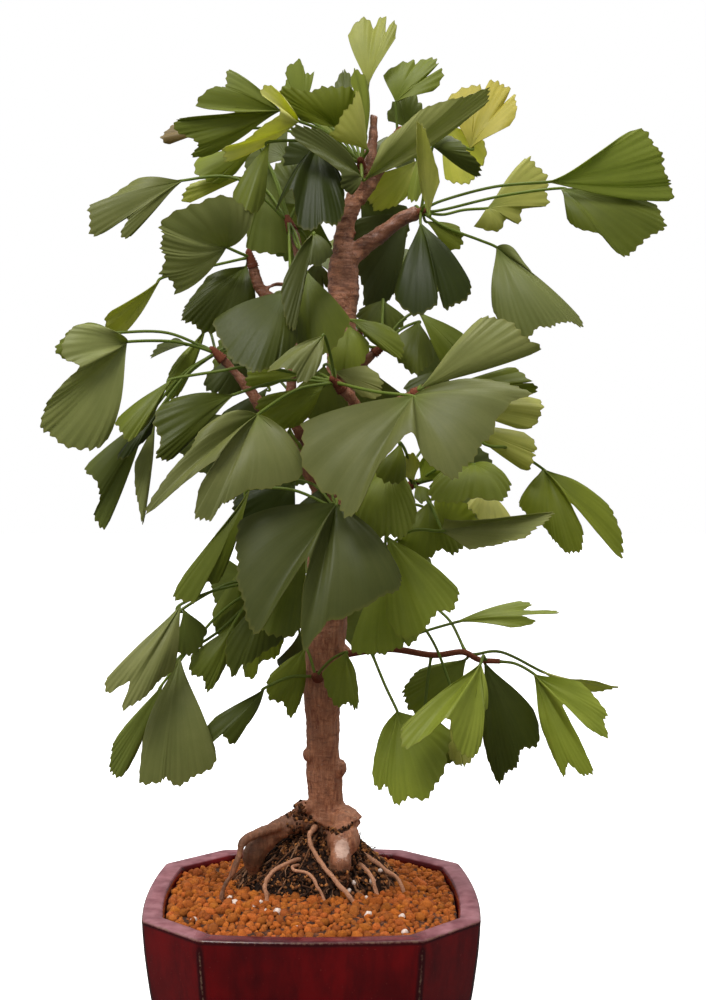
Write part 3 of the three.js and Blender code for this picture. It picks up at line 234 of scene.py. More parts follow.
# The first two surface roots are part of the trunk's skin. The others are thin ones on the mound.
SURFACE_ROOTS = [
    [
        [12, 20, 128, 9], [-8, 16, 134, 7.2], [-22, 12, 128, 7.2], [-33.5, 9, 119, 7.6],
        [-37.5, 9, 110, 7], [-37, 12, 101, 4.8], [-37, 17, 90, 3]
    ],
    [
        [-20, 6, 131, 3.6], [-33, 0, 127, 3.4], [-44, -6, 121, 2.6], [-47, -9, 111, 2.1],
        [-52, -11, 99, 1.8], [-57, -14, 90, 1.6], [-60, -15, 72, 1.5]
    ],
    [
        [2, 8, 130, 2.2], [-1, -3, 126, 1.6], [1, -9, 114.5, 1.5], [8, -14, 105, 1.5], [19, -22, 91, 1.5],
        [29, -24, 79, 1.4], [34, -25, 68, 1.3]
    ],
    [
        [-4, 6, 110, 1.7], [-18, -9, 106, 1.3], [-28, -14, 98, 1.4], [-31, -18, 91, 1.4], [-29, -21, 82, 1.4],
        [-27, -25, 68, 1.3]
    ],
    [[-8, 2, 106, 1.5], [-12, -10, 103, 1.1], [-1, -17, 99, 1.1], [5, -21, 89, 1.1], [16, -25, 72, 1.1]],
    [[26, 20, 118, 3], [36, 12, 110, 1.8], [48, 8, 103, 1.4], [58, 2, 92, 1.3], [64, -2, 72, 1.3]],
    [[24, 16, 112, 2.6], [34, 2, 103, 1.5], [40, -6, 94, 1.3], [44, -12, 72, 1.3]],
    [[16, 34, 118, 5], [6, 56, 108, 3], [-6, 72, 94, 2.2], [-12, 80, 70, 1.8]],
    [[24, 32, 116, 4.6], [40, 52, 106, 2.8], [52, 64, 92, 2], [58, 70, 70, 1.6]]
]
BURLS = [
    # x, depth, z, then the half sizes
    [22, 11, 136, 10.5, 12, 8], [20, 0, 122, 11, 12, 12], [18.6, -7, 109, 7.2, 9, 12],
    [20, -8, 97, 5, 6, 9], [18, 11, 168, 5, 5, 6], [-2, 10, 177, 4, 5, 5], [20, 3, 243, 6, 6, 5],
    [-5, 15, 143, 6.5, 7, 5], [27, -3, 497, 5.5, 6, 4.5], [43.5, -3, 515, 3.4, 3.4, 3.4]
]
WOOD_SIDES = 20
WOOD_VOXEL = 1.05
WOOD_SMOOTHING = 7
THICK_ROOTS = 2
YOUNG_BARK = (400, 450)  # heights between which furrows give way to rings
# Scales across and along the trunk of the bark's furrows, swellings, rings and grain.
BARK_SCALES = [(0.33, 0.055), (0.09, 0.09), (0.03, 0.42), (0.8, 0.35)]
# The lower edge of the bark as (x, z) in the elevation, and the bare scar on the knee below it:
# x, z and half sizes.
BARK_END = [(-6, 141), (3, 133.5), (9, 130), (17, 128), (23, 130.5), (33, 137)]
SCAR = (19.4, 116, 4.4, 5.6)

# ---- leaf rows ----------------------------------------------------------------------------------
# The base as x, depth, z; the depths of the left corner, the middle and the right corner; the outer
# edge from left to right as x, z, x, z and so on; the notches as [place, depth], their place from
# -1 to 1 along the edge; how far the blade bows; then any points of a bent petiole as x, depth, z.
SPRAYS = {
    "top": [
        [[36, 0, 607], [6, 0, -6], [22, 644, 30, 650, 36, 651, 40, 646, 43, 651, 48, 651, 48, 643, 51, 648,
            54, 649, 56, 643], [], 3],
        [[-5, 22, 590], [20, 18, 20], [-22, 606, -16, 611, -17, 619, -8, 624, -4, 617, 2, 619], [], 2],
        [[17, -4, 580], [-8, -16, -4], [-9, 586, -21, 600, -19, 606, -3, 605, 10, 607, 24, 607, 31, 598],
            [], 5],
        [[35, -10, 574], [-18, -12, -4], [24, 614, 30, 618, 37, 608], [], 2],
        [[22, 24, 588], [28, 30, 26], [14, 608, 20, 617, 27, 612], [[0.1, 0.1]], 2],
        [[33, -24, 547], [-38, -50, -34], [46, 573, 60, 583, 75, 595, 96, 601, 113, 606, 113, 597, 100,
            586, 80, 571], [], 5],
        [[32, -26, 549], [-36, -42, -34], [26, 537, 19, 543, 16, 554, -12, 575, -9, 582, 3, 580, 15, 573],
            [], 4],
        [[36, -18, 566], [-26, -32, -24], [9, 575, 22, 592, 30, 607], [], 3],
        [[-8, -24, 585], [-42, -48, -34], [-15, 596, -26, 608, -33, 603, -20, 592, -30, 584, -44, 573, -56,
            568, -56, 559, -46, 562], [], 3],
        [[-20, -8, 592], [-18, -26, -12], [-42, 612, -55, 619, -55, 608, -64, 607, -75, 595, -50, 591, -78,
            588, -88, 585, -85, 577, -73, 571, -79, 563, -71, 560], [], 5],
        [[-60, 6, 580], [4, 4, 8], [-94, 570, -96, 577, -87, 584], [], 2],
        [[4, -14, 572], [-28, -42, -32], [-20, 536, -23, 527, -13, 541, -9, 518, 1, 516, 9, 519, 17, 518,
            21, 530, 21, 546], [], 5],
        [[-27, -34, 572], [-46, -54, -46], [-53, 536, -42, 527, -31, 530], [], 5]
    ],
    "left_inner": [
        [[-35, 0, 570], [2, -4, 4], [-78, 561, -68, 546, -51, 549], [[0.2, 0.1]], 3],
        [[-27, 8, 556], [6, 0, 8], [-55, 514, -49, 507, -42, 512, -41, 502, -27, 500, -13, 502, -9, 507],
            [], 4],
        [[10, 14, 560], [16, 14, 16], [-20, 556, -15, 570, -2, 573], [], 2],
        [[-42, 14, 549], [8, 6, 12], [-82, 531, -80, 543, -60, 549], [], 3],
        [[-83, -10, 547], [-12, -20, -14], [-115, 549, -130, 537, -143, 530, -143, 519, -139, 511, -119,
            523, -123, 514, -119, 509, -110, 519], [], 4, [-48, -12, 548]],
        [[1, -56, 513], [-68, -76, -62], [-12, 496, -20, 474, -16, 456, -11, 451, -7, 470, -3, 490, 5, 492,
            15, 499], [], 5, [-8, -30, 503]],
        [[-14, -56, 477], [-68, -86, -72], [-67, 455, -38, 424, -9, 441], [[0.5, 0.1]], 6],
        [[-4, -44, 490], [-48, -58, -52], [-12, 443, 5, 434, 27, 455], [], 5],
        [[4, 26, 495], [28, 26, 26], [-5, 486, 5, 476, 13, 484], [[0.4, 0.15]], 3],
        [[-4, 20, 530], [26, 28, 24], [-28, 533, -27, 550, -14, 563, 3, 558], [], 3, [-4, 0, 516]]
    ],
    "knob": [
        [[54, 4, 597], [8, 0, -4], [45, 617, 78, 625, 82, 606], [[0.38, 0.3], [-0.4, 0.08]], 3],
        [[61, 24, 580], [28, 26, 26], [47, 586, 61, 603, 75, 590], [[-0.3, 0.08]], 3],
        [[102, 14, 567], [22, 20, 8], [85, 602, 124, 609, 131, 584], [[-0.42, 0.18], [0.3, 0.24]], 4],
        [[83, 30, 586], [36, 34, 28], [86, 546, 104, 548, 114, 571], [], 4],
        [[68, 16, 560], [20, 20, 12], [62, 537, 42, 528, 30, 546], [[0.3, 0.08]], 3],
        [[70, 8, 566], [10, 6, 8], [61, 537, 66, 533, 72, 543], [], 2]
    ],
    "right": [
        [[152, -14, 546], [-34, -26, -14], [198, 573, 212, 580, 221, 571, 226, 562, 229, 549, 232, 543,
            230, 534, 205, 539], [], 6, [84, -14, 534], [118, -16, 543]],
        [[160, -6, 542], [-8, -20, -12], [203, 537, 221, 531, 227, 521, 225, 514, 214, 509, 205, 499, 196,
            501, 185, 512, 172, 515, 165, 521], [], 5, [84, -6, 528], [122, -8, 537]],
        [[113, 12, 529], [22, 18, 10], [129, 549, 134, 558, 141, 561, 149, 553, 152, 541, 151, 531, 136,
            528, 133, 519, 125, 522, 120, 514, 104, 517], [], 3, [84, 4, 525], [98, 8, 528]],
        [[119, -4, 504], [-16, -28, -10], [116, 461, 124, 452, 137, 446, 147, 452, 157, 453, 165, 456, 173,
            453, 172, 460, 150, 479, 132, 502], [], 8, [86, -10, 517], [107, -6, 509]],
        [[70, -20, 520], [-30, -44, -28], [57, 484, 54, 469, 68, 460, 80, 466, 81, 478, 86, 465, 95, 468,
            103, 474, 101, 484], [], 6],
        [[73, -8, 521], [-6, -6, -2], [88, 500, 97, 507, 95, 518], [], 2],
        [[64, 30, 526], [34, 36, 30], [27, 522, 24, 508, 32, 480, 36, 463, 50, 470, 56, 484], [], 4],
        [[78, -28, 569], [-32, -44, -30], [88, 577, 104, 563, 110, 547], [[-0.2, 0.08]], 4],
        [[76, -60, 524], [-68, -76, -66], [69, 548, 69, 585, 83, 548], [], -4]
    ],
    "left_upper": [
        [[-55, -34, 504], [-46, -62, -54], [-91, 472, -93, 483, -98, 488, -94, 498, -98, 504, -95, 512,
            -99, 519, -82, 530, -61, 537, -46, 533, -36, 526], [], 7, [-46, -32, 500]],
        [[-97, -14, 484], [-22, -14, -8], [-131, 462, -133, 452, -122, 446], [], 3, [-60, -26, 493], [-86,
            -20, 487]],
        [[-42, -10, 492], [-18, -26, -14], [-69, 485, -80, 468, -84, 459, -77, 454, -66, 449, -50, 450,
            -36, 468], [], 5]
    ],
    "left_middle": [
        [[-119, -38, 443], [-50, -62, -46], [-130, 450, -143, 455, -154, 452, -160, 444, -160, 432, -150,
            427, -160, 417, -170, 404, -174, 393, -171, 384, -160, 377, -146, 371, -133, 375], [], 8, [-88,
            -28, 443]],
        [[-124, -26, 449], [-24, -22, -18], [-161, 430, -163, 443, -146, 456], [], 3],
        [[-80, -14, 441], [-18, -10, -4], [-106, 431, -100, 439, -90, 446], [], 2],
        [[-68, 8, 453], [2, -6, 6], [-85, 434, -91, 424, -95, 412, -87, 407, -80, 422], [], 4],
        [[-104, -10, 397], [-18, -26, -16], [-140, 368, -146, 360, -138, 351, -137, 341, -140, 331, -134,
            322, -124, 345], [], 4],
        [[-98, -30, 400], [-34, -40, -32], [-128, 367, -118, 370, -104, 383], [], 3],
        [[-101, -20, 393], [-26, -28, -20], [-116, 362, -112, 340, -109, 326, -105, 347], [], 2],
        [[-42, 18, 437], [16, 12, 16], [-70, 421, -62, 408, -42, 411], [[0, 0.08]], 3],
        [[-28, 6, 414], [6, 4, 8], [-60, 396, -52, 388, -35, 392], [], 2, [-48, 2, 436]]
    ],
    "front_middle": [
        [[-35, -84, 396], [-92, -112, -96], [-60, 394, -72, 386, -80, 372, -97, 352, -107, 332, -84, 351,
            -62, 367, -72, 350, -75, 332, -66, 327, -57, 338, -40, 347, -20, 350, -5, 358, -8, 375], [], 8,
            [-10, -70, 412]],
        [[65, -96, 408], [-100, -124, -98], [-14, 388, -4, 356, 14, 343, 27, 331, 44, 364, 64, 384, 72,
            368, 90, 355, 103, 367, 116, 385, 126, 402, 142, 411, 112, 420], [], 7, [40, -80, 411]],
        [[14, -22, 424], [-24, -26, -24], [37, 428, 46, 412, 34, 406], [[0, 0.12]], 2],
        [[8, -17, 428], [-18, -19, -18], [-11, 412, -8, 398, 6, 391, 19, 396, 25, 402], [], 2],
        [[8, -46, 415], [-44, -46, -42], [-33, 408, -35, 398, -26, 388, -14, 387, -3, 393], [], 4],
        [[-6, -40, 422], [-46, -48, -46], [-37, 427, -43, 417, -30, 413], [], 3],
        [[8, -82, 447], [-94, -102, -94], [-22, 433, -29, 423, -18, 426, -11, 423, -9, 418, 0, 419, 6,
            430], [], 4],
        [[-90, -50, 419], [-56, -64, -54], [-129, 391, -123, 384, -117, 380, -110, 385, -103, 394], [], 4,
            [-33, -56, 427], [-60, -54, 424]],
        [[-50, -52, 409], [-58, -72, -62], [-84, 408, -97, 402, -101, 391, -98, 378, -100, 369, -94, 366,
            -86, 371, -79, 379], [], 6, [-18, -58, 418]]
    ],
    "right_inner": [
        [[24, -13, 453], [-17, -22, -15], [8, 429, 25, 424, 39, 440], [[-0.3, 0.1]], 4, [37, -6, 440], [30,
            -10, 446]],
        [[25, -20, 457], [-24, -29, -22], [38, 443, 58, 433, 54, 452], [], 4, [45, -12, 446], [37, -20,
            455]],
        [[69, -2, 456], [-4, -14, -8], [49, 440, 66, 423, 80, 435], [], 4],
        [[68, 16, 463], [14, 10, 14], [84, 428, 95, 432, 100, 447], [[0.2, 0.1]], 3],
        [[46, 16, 470], [20, 14, 18], [29, 463, 30, 452, 40, 445, 53, 447, 62, 457], [], 3]
    ],
    "right_front": [
        [[69, -70, 412], [-74, -86, -76], [105, 456, 113, 459, 125, 457, 136, 448, 147, 439, 134, 433], [],
            6],
        [[72, -60, 410], [-60, -66, -58], [131, 428, 142, 417, 146, 409], [[0, 0.1]], 4],
        [[80, -50, 404], [-50, -56, -52], [146, 408, 148, 396, 138, 385], [], 5],
        [[92, -40, 391], [-42, -50, -42], [141, 384, 144, 371, 139, 358], [[0, 0.05]], 4],
        [[149, -26, 361], [-26, -44, -26], [134, 342, 134, 335, 142, 329, 152, 321, 158, 313, 166, 307,
            173, 309, 175, 320, 168, 338, 198, 304, 200, 316, 196, 332, 184, 345], [], 6, [108, -58, 379],
            [128, -46, 374]],
        [[90, -22, 427], [-26, -30, -26], [60, 417, 66, 405, 85, 404], [], 3]
    ],
    "right_lower": [
        [[66, -40, 353], [-46, -50, -44], [55, 358, 57, 368, 64, 371, 70, 364], [], -2],
        [[70, -32, 353], [-36, -40, -36], [69, 365, 76, 372, 84, 366, 84, 355], [], -2],
        [[67, -40, 350], [-48, -50, -44], [66, 342, 72, 340, 78, 346], [], 2],
        [[50, -60, 364], [-66, -80, -66], [24, 338, 30, 325, 40, 319, 50, 317, 58, 317, 65, 324, 67, 338,
            62, 353], [], 8],
        [[57, -74, 378], [-80, -84, -76], [40, 360, 52, 351, 61, 358], [], 3],
        [[104, -58, 364], [-68, -84, -66], [82, 358, 75, 348, 80, 340, 92, 340, 104, 342, 123, 341, 128,
            349, 125, 358], [], 6],
        [[112, -42, 350], [-46, -50, -42], [99, 338, 106, 331, 113, 325, 131, 325], [], 3],
        [[84, -44, 322], [-48, -42, -38], [78, 340, 92, 342, 112, 326], [], 3],
        [[76, -24, 341], [-26, -34, -26], [52, 318, 62, 308, 74, 303, 84, 309, 92, 306, 100, 310], [], 4]
    ],
    "front_lower": [
        [[16, -76, 339], [-88, -114, -92], [-54, 326, -51, 305, -48, 286, -43, 268, -36, 254, -19, 280, -2,
            305, -6, 282, -7, 258, -5, 244, 4, 254, 11, 262, 25, 266, 41, 276, 56, 283, 59, 291, 54, 303],
            [], 10],
        [[-40, -30, 348], [-38, -42, -34], [-69, 309, -84, 290, -88, 278, -76, 275, -70, 287, -60, 288,
            -55, 300], [], 5],
        [[-10, 2, 354], [4, -4, 2], [-46, 351, -50, 336, -38, 318, -12, 324], [], 4],
        [[9, -14, 352], [-12, -18, -14], [-16, 331, -2, 320, 13, 327], [], 3],
        [[-6, -44, 324], [-62, -70, -62], [-37, 282, -36, 264, -22, 252, -4, 259], [], 4]
    ],
    "centre_lower": [
        [[48, -46, 318], [-60, -62, -50], [48, 262, 58, 252, 70, 254, 75, 262, 83, 269, 90, 270, 95, 278,
            93, 285, 84, 293], [], 6],
        [[46, -22, 302], [-26, -36, -28], [23, 242, 50, 243, 75, 256], [[-0.3, 0.05], [0.4, 0.05]], 6],
        [[82, -66, 321], [-76, -80, -82], [86, 330, 106, 328, 153, 333, 150, 327, 137, 317, 120, 312.5,
            103, 308], [], -5]
    ],
    "left_lower": [
        [[-42, -2, 304], [-2, -8, 0], [-65, 268, -58, 253, -40, 262], [], 3],
        [[-26, -34, 284], [-42, -48, -38], [-56, 250, -56, 238, -50, 228, -46, 233, -39, 237, -30, 243,
            -20, 250, -12, 258], [], 6],
        [[-27, -1, 275], [0, -6, 0], [-46, 233, -43, 227, -36, 228, -34, 235, -27, 239, -22, 240, -17,
            250], [], 4],
        [[-50, -16, 262], [-20, -26, -16], [-79, 240, -78, 228, -70, 227, -68, 217, -62, 223, -55, 234],
            [], 4],
        [[-84, -42, 274], [-52, -62, -46], [-126, 232, -134, 223, -131, 217, -118, 223, -122, 207, -113,
            210, -105, 217, -97, 225, -89, 228], [], 6, [-58, -32, 284]],
        [[-83, -28, 271], [-32, -28, -22], [-89, 246, -78, 241, -66, 256], [], 3],
        [[-85, -22, 240], [-30, -42, -32], [-110, 188, -111, 172, -110, 159, -99, 158, -95, 162, -89, 157,
            -80, 160, -71, 165, -61, 172, -65, 187], [], 8, [-58, -16, 258]],
        [[-95, -8, 224], [-10, -16, -8], [-120, 196, -128, 184, -130, 172, -128, 163, -119, 167, -107,
            192], [], 4]
    ],
    "trunk_front": [
        [[-30, -20, 220], [-26, -34, -24], [-50, 208, -67, 196, -64, 186, -58, 189, -50, 184, -44, 193,
            -39, 199], [], 4],
        [[-4, -4, 246], [-6, -14, -6], [-21, 234, -29, 224, -28, 214, -19, 210, -15, 202, -10, 205, -5,
            217], [], 4],
        [[22, -22, 243], [-26, -36, -26], [5, 228, 10, 218, 16, 207, 23, 211, 28, 205, 30, 213, 29, 228],
            [], 4]
    ],
    "lower_shoot": [
        [[55, -32, 205], [-40, -52, -44], [43, 188, 39, 165, 44, 153, 47, 158, 53, 146, 62, 148, 74, 149,
            82, 160, 88, 175, 92, 192], [], 7, [38, -4, 244], [47, -20, 222]],
        [[73, -16, 207], [-22, -28, -22], [68, 152, 80, 160, 89, 172, 98, 171, 101, 181], [], 5, [77, -12,
            241]],
        [[109, -48, 236], [-66, -78, -62], [75, 209, 60, 197, 57, 190, 61, 181, 74, 188, 87, 200, 91, 187,
            97, 177, 104, 176, 109, 182, 109.5, 197, 113, 203], [], 6, [112, -14, 238]],
        [[100, 6, 239], [8, 4, 8], [80, 235, 67, 230, 60, 220, 60, 211, 70, 203, 92, 204], [], 4, [104,
            -14, 240]],
        [[111, -12, 237], [-18, -24, -16], [109, 190, 115, 168, 121, 159, 127, 166, 133, 171, 135, 181,
            146, 182, 147, 202], [], 6, [106, -14, 239]],
        [[143, -18, 229], [-24, -36, -24], [149, 189, 157, 172, 162, 163, 166, 170, 176, 163, 181, 167,
            175, 182, 162, 209, 178, 194, 190, 188, 189, 199, 190, 206, 176, 223], [], 6, [120, -14, 237]],
        [[147, -2, 231], [-22, -6, 20], [176, 224, 198, 220.5, 179, 217.5], [], 2, [103, -14, 241], [122,
            -8, 243]],
        [[92, -2, 262], [12, -4, -16], [118, 269, 132, 275, 141, 273, 138, 270.5, 157, 270.5, 157, 267.5,
            137, 266, 144, 262, 133, 259], [], 2, [50, -8, 245], [66, -6, 254]],
        [[91, -22, 216], [-28, -34, -26], [87, 176, 96, 170, 107, 176], [[0.1, 0.08]], 3, [66, -6, 254],
            [69, -14, 262], [80, -18, 246]],
        [[82, 20, 270], [24, 26, 22], [44, 286, 52, 306, 76, 306], [[0, 0.1]], 4, [99, -14, 243]]
    ],
    "back_top": [
        [[-14, 46, 560], [58, 66, 60], [-44, 548, -38, 572, -14, 590], [], 6],
        [[10, 56, 574], [74, 84, 66], [-8, 596, 18, 600, 34, 588], [[0, 0.1]], 6],
        [[34, 44, 556], [66, 74, 58], [44, 574, 64, 572, 64, 552], [], 5],
        [[30, 50, 536], [68, 80, 66], [64, 530, 56, 504, 30, 500], [], 6],
        [[0, 50, 536], [64, 78, 64], [14, 502, -8, 494, -34, 506, -41, 534], [], 6]
    ],
    "back_upper": [
        [[50, 60, 476], [78, 84, 66], [56, 504, 82, 494, 84, 474], [[0.1, 0.12]], 6],
        [[20, 74, 478], [88, 104, 88], [-6, 500, 22, 510, 44, 500], [], 6],
        [[60, 70, 444], [82, 92, 80], [84, 444, 90, 424, 70, 408], [], 6],
        [[6, 72, 452], [84, 88, 78], [-16, 480, -40, 456, -24, 430], [[0, 0.1]], 6],
        [[34, 78, 430], [92, 108, 90], [60, 408, 34, 392, 8, 404], [], 7]
    ],
    "back_middle": [
        [[-30, 60, 424], [74, 78, 66], [-44, 456, -62, 436, -58, 404], [[0, 0.12]], 6],
        [[-44, 66, 396], [78, 84, 74], [-80, 396, -84, 370, -56, 352], [], 6],
        [[-14, 84, 388], [102, 118, 100], [-40, 366, -16, 350, 10, 362], [], 7],
        [[14, 70, 398], [84, 92, 86], [40, 390, 46, 364, 22, 348], [], 6],
        [[-52, 54, 376], [62, 70, 60], [-70, 362, -62, 342, -44, 344], [], 4]
    ],
    "back_right": [
        [[76, 56, 356], [66, 70, 62], [104, 380, 120, 352, 104, 330], [[0, 0.1]], 6],
        [[70, 68, 372], [86, 94, 80], [60, 402, 92, 404, 104, 378], [], 6],
        [[58, 72, 322], [84, 98, 84], [80, 312, 66, 298, 42, 298], [], 6],
        [[36, 74, 344], [90, 98, 86], [10, 362, 2, 330, 24, 312], [[0, 0.1]], 6],
        [[84, 50, 330], [58, 64, 58], [98, 346, 112, 334, 100, 316], [], 4]
    ],
    "back_lower": [
        [[-34, 58, 292], [68, 76, 66], [-62, 308, -64, 282, -50, 258], [], 6],
        [[-36, 64, 270], [76, 84, 74], [-60, 262, -54, 242, -28, 244], [[0, 0.12]], 6],
        [[-6, 72, 292], [90, 102, 84], [-28, 318, 4, 322, 22, 302], [], 6],
        [[10, 66, 262], [78, 86, 76], [34, 280, 46, 260, 30, 242], [], 6],
        [[-8, 76, 256], [94, 104, 90], [-24, 236, -4, 220, 12, 232], [], 6]
    ]
}

SHOOT = [
    [8, 8, 238, 2.6], [24, 0, 242, 2.4], [50, -8, 245, 2.2], [78, -12, 241, 2], [97, -14, 243, 1.9],
    [108, -14, 238, 1.8], [121, -14, 237, 1.6]
]

# The look of each leaf, in the order of SPRAYS. Each tone is partly the leaf's own colour and partly painted
# light: deeper tones on leaves that lie in shade, paler ones on leaves the lamps leave dim.
TONES = {
    "top": "pale young olive young slate sage slate pale lime olive brown deep mid",
    "left_inner": "young mid deep pale grey slate dark mid dark mid",
    "knob": "olive mid straw lime pale young",
    "right": "young mid pale grey deep olive deep dark pale",
    "left_upper": "sage pale dark",
    "left_middle": "sage mid slate olive mid deep sage dark deep",
    "front_middle": "grey grey sage mid olive young grey mid dark",
    "right_inner": "young mid mid young mid",
    "right_front": "sage olive pale pale olive dark",
    "right_lower": "pale young mid young olive young lime olive olive",
    "front_lower": "slate mid deep dark mid",
    "centre_lower": "young young sage",
    "left_lower": "mid dark olive mid sage mid grey mid",
    "trunk_front": "dark olive olive",
    "lower_shoot": "young olive young olive dark young pale young pale mid",
    "back_top": "slate olive dark dark mid",
    "back_upper": "mid olive mid dark grey",
    "back_middle": "mid dark mid mid dark",
    "back_right": "dark olive dark mid mid",
    "back_lower": "mid dark mid mid deep"
}


# ---- helpers ------------------------------------------------------------------------------------
def place(row):
    """A row of the elevation as a point: its depth moves it along its own line of sight."""
    x, y, z = row[:3]
    scale = (EYE_DISTANCE + y) / EYE_DISTANCE
    return np.array([EYE_X + (x - EYE_X) * scale, y, EYE_Z + (z - EYE_Z) * scale])


def elevation(x, y, z):
    """Where a point is seen in the elevation: place() turned round."""
    share = EYE_DISTANCE / (EYE_DISTANCE + y)
    return EYE_X + (x - EYE_X) * share, EYE_Z + (z - EYE_Z) * share


def unit(vector):
    return vector / np.linalg.norm(vector)


def linear(colour):
    """Display colour, 0 to 255, as linear light."""
    share = np.array(colour) / 255
    return np.where(share <= 0.04045, share / 12.92, ((share + 0.055) / 1.055) ** 2.4)


def rgba(colour):
    return (*[float(v) for v in linear(colour)], 1.0)


def curve(rows, steps):
    """Smooth run through the rows of numbers, with the given points to each stretch."""
    rows = np.array(rows, float)
    ends = np.vstack([2 * rows[0] - rows[1], rows, 2 * rows[-1] - rows[-2]])
    u = (np.arange(steps) / steps)[:, None]
    run = []
    for a, b, c, d in zip(ends, ends[1:], ends[2:], ends[3:]):
        square = 2 * a - 5 * b + 4 * c - d
        cube = 3 * b - a - 3 * c + d
        run.append(0.5 * (2 * b + (c - a) * u + square * u**2 + cube * u**3))
    return np.vstack([*run, rows[-1:]])


def limb(rows, steps):
    """Points and radii along rows of x, depth, z and radius."""
    run = curve([[*place(row), row[3]] for row in rows], steps)
    return run[:, :3], run[:, 3]


def bumps(points, scale, offset=0):
    """Smooth noise at each of the points."""
    return np.array([noise.noise(Vector(point) * scale + Vector((offset, 0, 0))) for point in points])


class Skin:
    """Points, faces, colours and material numbers gathered for one piece."""

    def __init__(self):
        self.points = []
        self.colours = []
        self.marks = []
        self.faces = []
        self.materials = []
        self.count = 0

    def add(self, points, faces, colour=(0, 0, 0), marks=(0, 0, 0), material=0):
        points = np.asarray(points)
        self.points.append(points)
        self.colours.append(np.broadcast_to(np.asarray(colour, float), (len(points), 3)))
        self.marks.append(np.broadcast_to(np.asarray(marks, float), (len(points), 3)))
        for face in faces:
            self.faces.append([index + self.count for index in face])
        self.materials += [material] * len(faces)
        self.count += len(points)

    def grid(self, points, closed, capped, **looks):
        """Skin over rows of equal point count; points has the shape rows, columns, 3."""
        rows, columns, _ = points.shape
        faces = []
        for i in range(rows - 1):
            for j in range(columns if closed else columns - 1):
                k = (j + 1) % columns
                low = i * columns
                high = low + columns
                faces.append([low + j, low + k, high + k, high + j])
        if capped:
            faces.append(list(range(columns))[::-1])
            faces.append([(rows - 1) * columns + j for j in range(columns)])
        self.add(points.reshape(-1, 3), faces, **looks)

    def tube(self, path, radii, sides, **looks):
        """Round skin along a path, with a frame carried along it without twisting."""
        path = np.asarray(path)
        along = np.gradient(path, axis=0)
        side = np.array([0.31, 0.77, 0.56])
        angles = 2 * np.pi * np.arange(sides) / sides
        rings = []
        for point, ahead, radius in zip(path, along, radii):
            ahead = unit(ahead)
            side = unit(side - ahead * side.dot(ahead))
            up = np.cross(ahead, side)
            rings.append(point + radius * (np.outer(np.cos(angles), side) + np.outer(np.sin(angles), up)))
        self.grid(np.array(rings), True, True, **looks)

    def mesh(self, name):
        made = bpy.data.meshes.new(name)
        made.from_pydata(np.vstack(self.points) * MM, [], self.faces)
        return made

    def piece(self, name, materials, stands_for=()):
        """The gathered skin as an object of the scene that rides on the part's body."""
        mesh = self.mesh(name)
        paint(mesh, "tint", np.vstack(self.colours))
        paint(mesh, "marks", np.vstack(self.marks))
        for material in materials:
            mesh.materials.append(material)
        mesh.polygons.foreach_set("material_index", self.materials)
        mesh.shade_smooth()
        return show(mesh, name, stands_for)


def paint(mesh, title, values):
    """Keeps three numbers for each point of the mesh, where its material can read them."""
    values = np.hstack([values, np.ones((len(values), 1))]).astype(np.float32)
    layer = mesh.color_attributes.new(title, "FLOAT_COLOR", "POINT")
    layer.data.foreach_set("color", values.ravel())


def show(mesh, name, stands_for):
    made = add_object(name, mesh)
    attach(made, "root")
    if stands_for:
        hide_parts(*stands_for)
    return made


def ball(subdivisions):
    """Points and faces of a unit ball of equal triangles."""
    work = bmesh.new()
    bmesh.ops.create_icosphere(work, subdivisions=subdivisions, radius=1)
    work.verts.ensure_lookup_table()
    points = np.array([v.co[:] for v in work.verts])
    faces = [[v.index for v in face.verts] for face in work.faces]
    work.free()
    return points, faces


def lump(shape, centre, size, roughness):
    """A grain of about that radius, uneven all round, from a ball's points."""
    squash = size * rng.uniform(0.78, 1.18, 3)
    turn = unit(rng.normal(size=3))
    points = shape * (1 + roughness * np.sin(shape @ (3.1 * turn + 1.3) + rng.uniform(0, 6)))[:, None]
    points = points + roughness * 0.6 * rng.normal(size=points.shape)
    spin = np.linalg.qr(rng.normal(size=(3, 3)))[0]
    spin *= np.sign(np.linalg.det(spin))
    return (points * squash) @ spin + centre


BALL_POINTS, BALL_FACES = ball(2)
CRUMB_POINTS, CRUMB_FACES = ball(1)


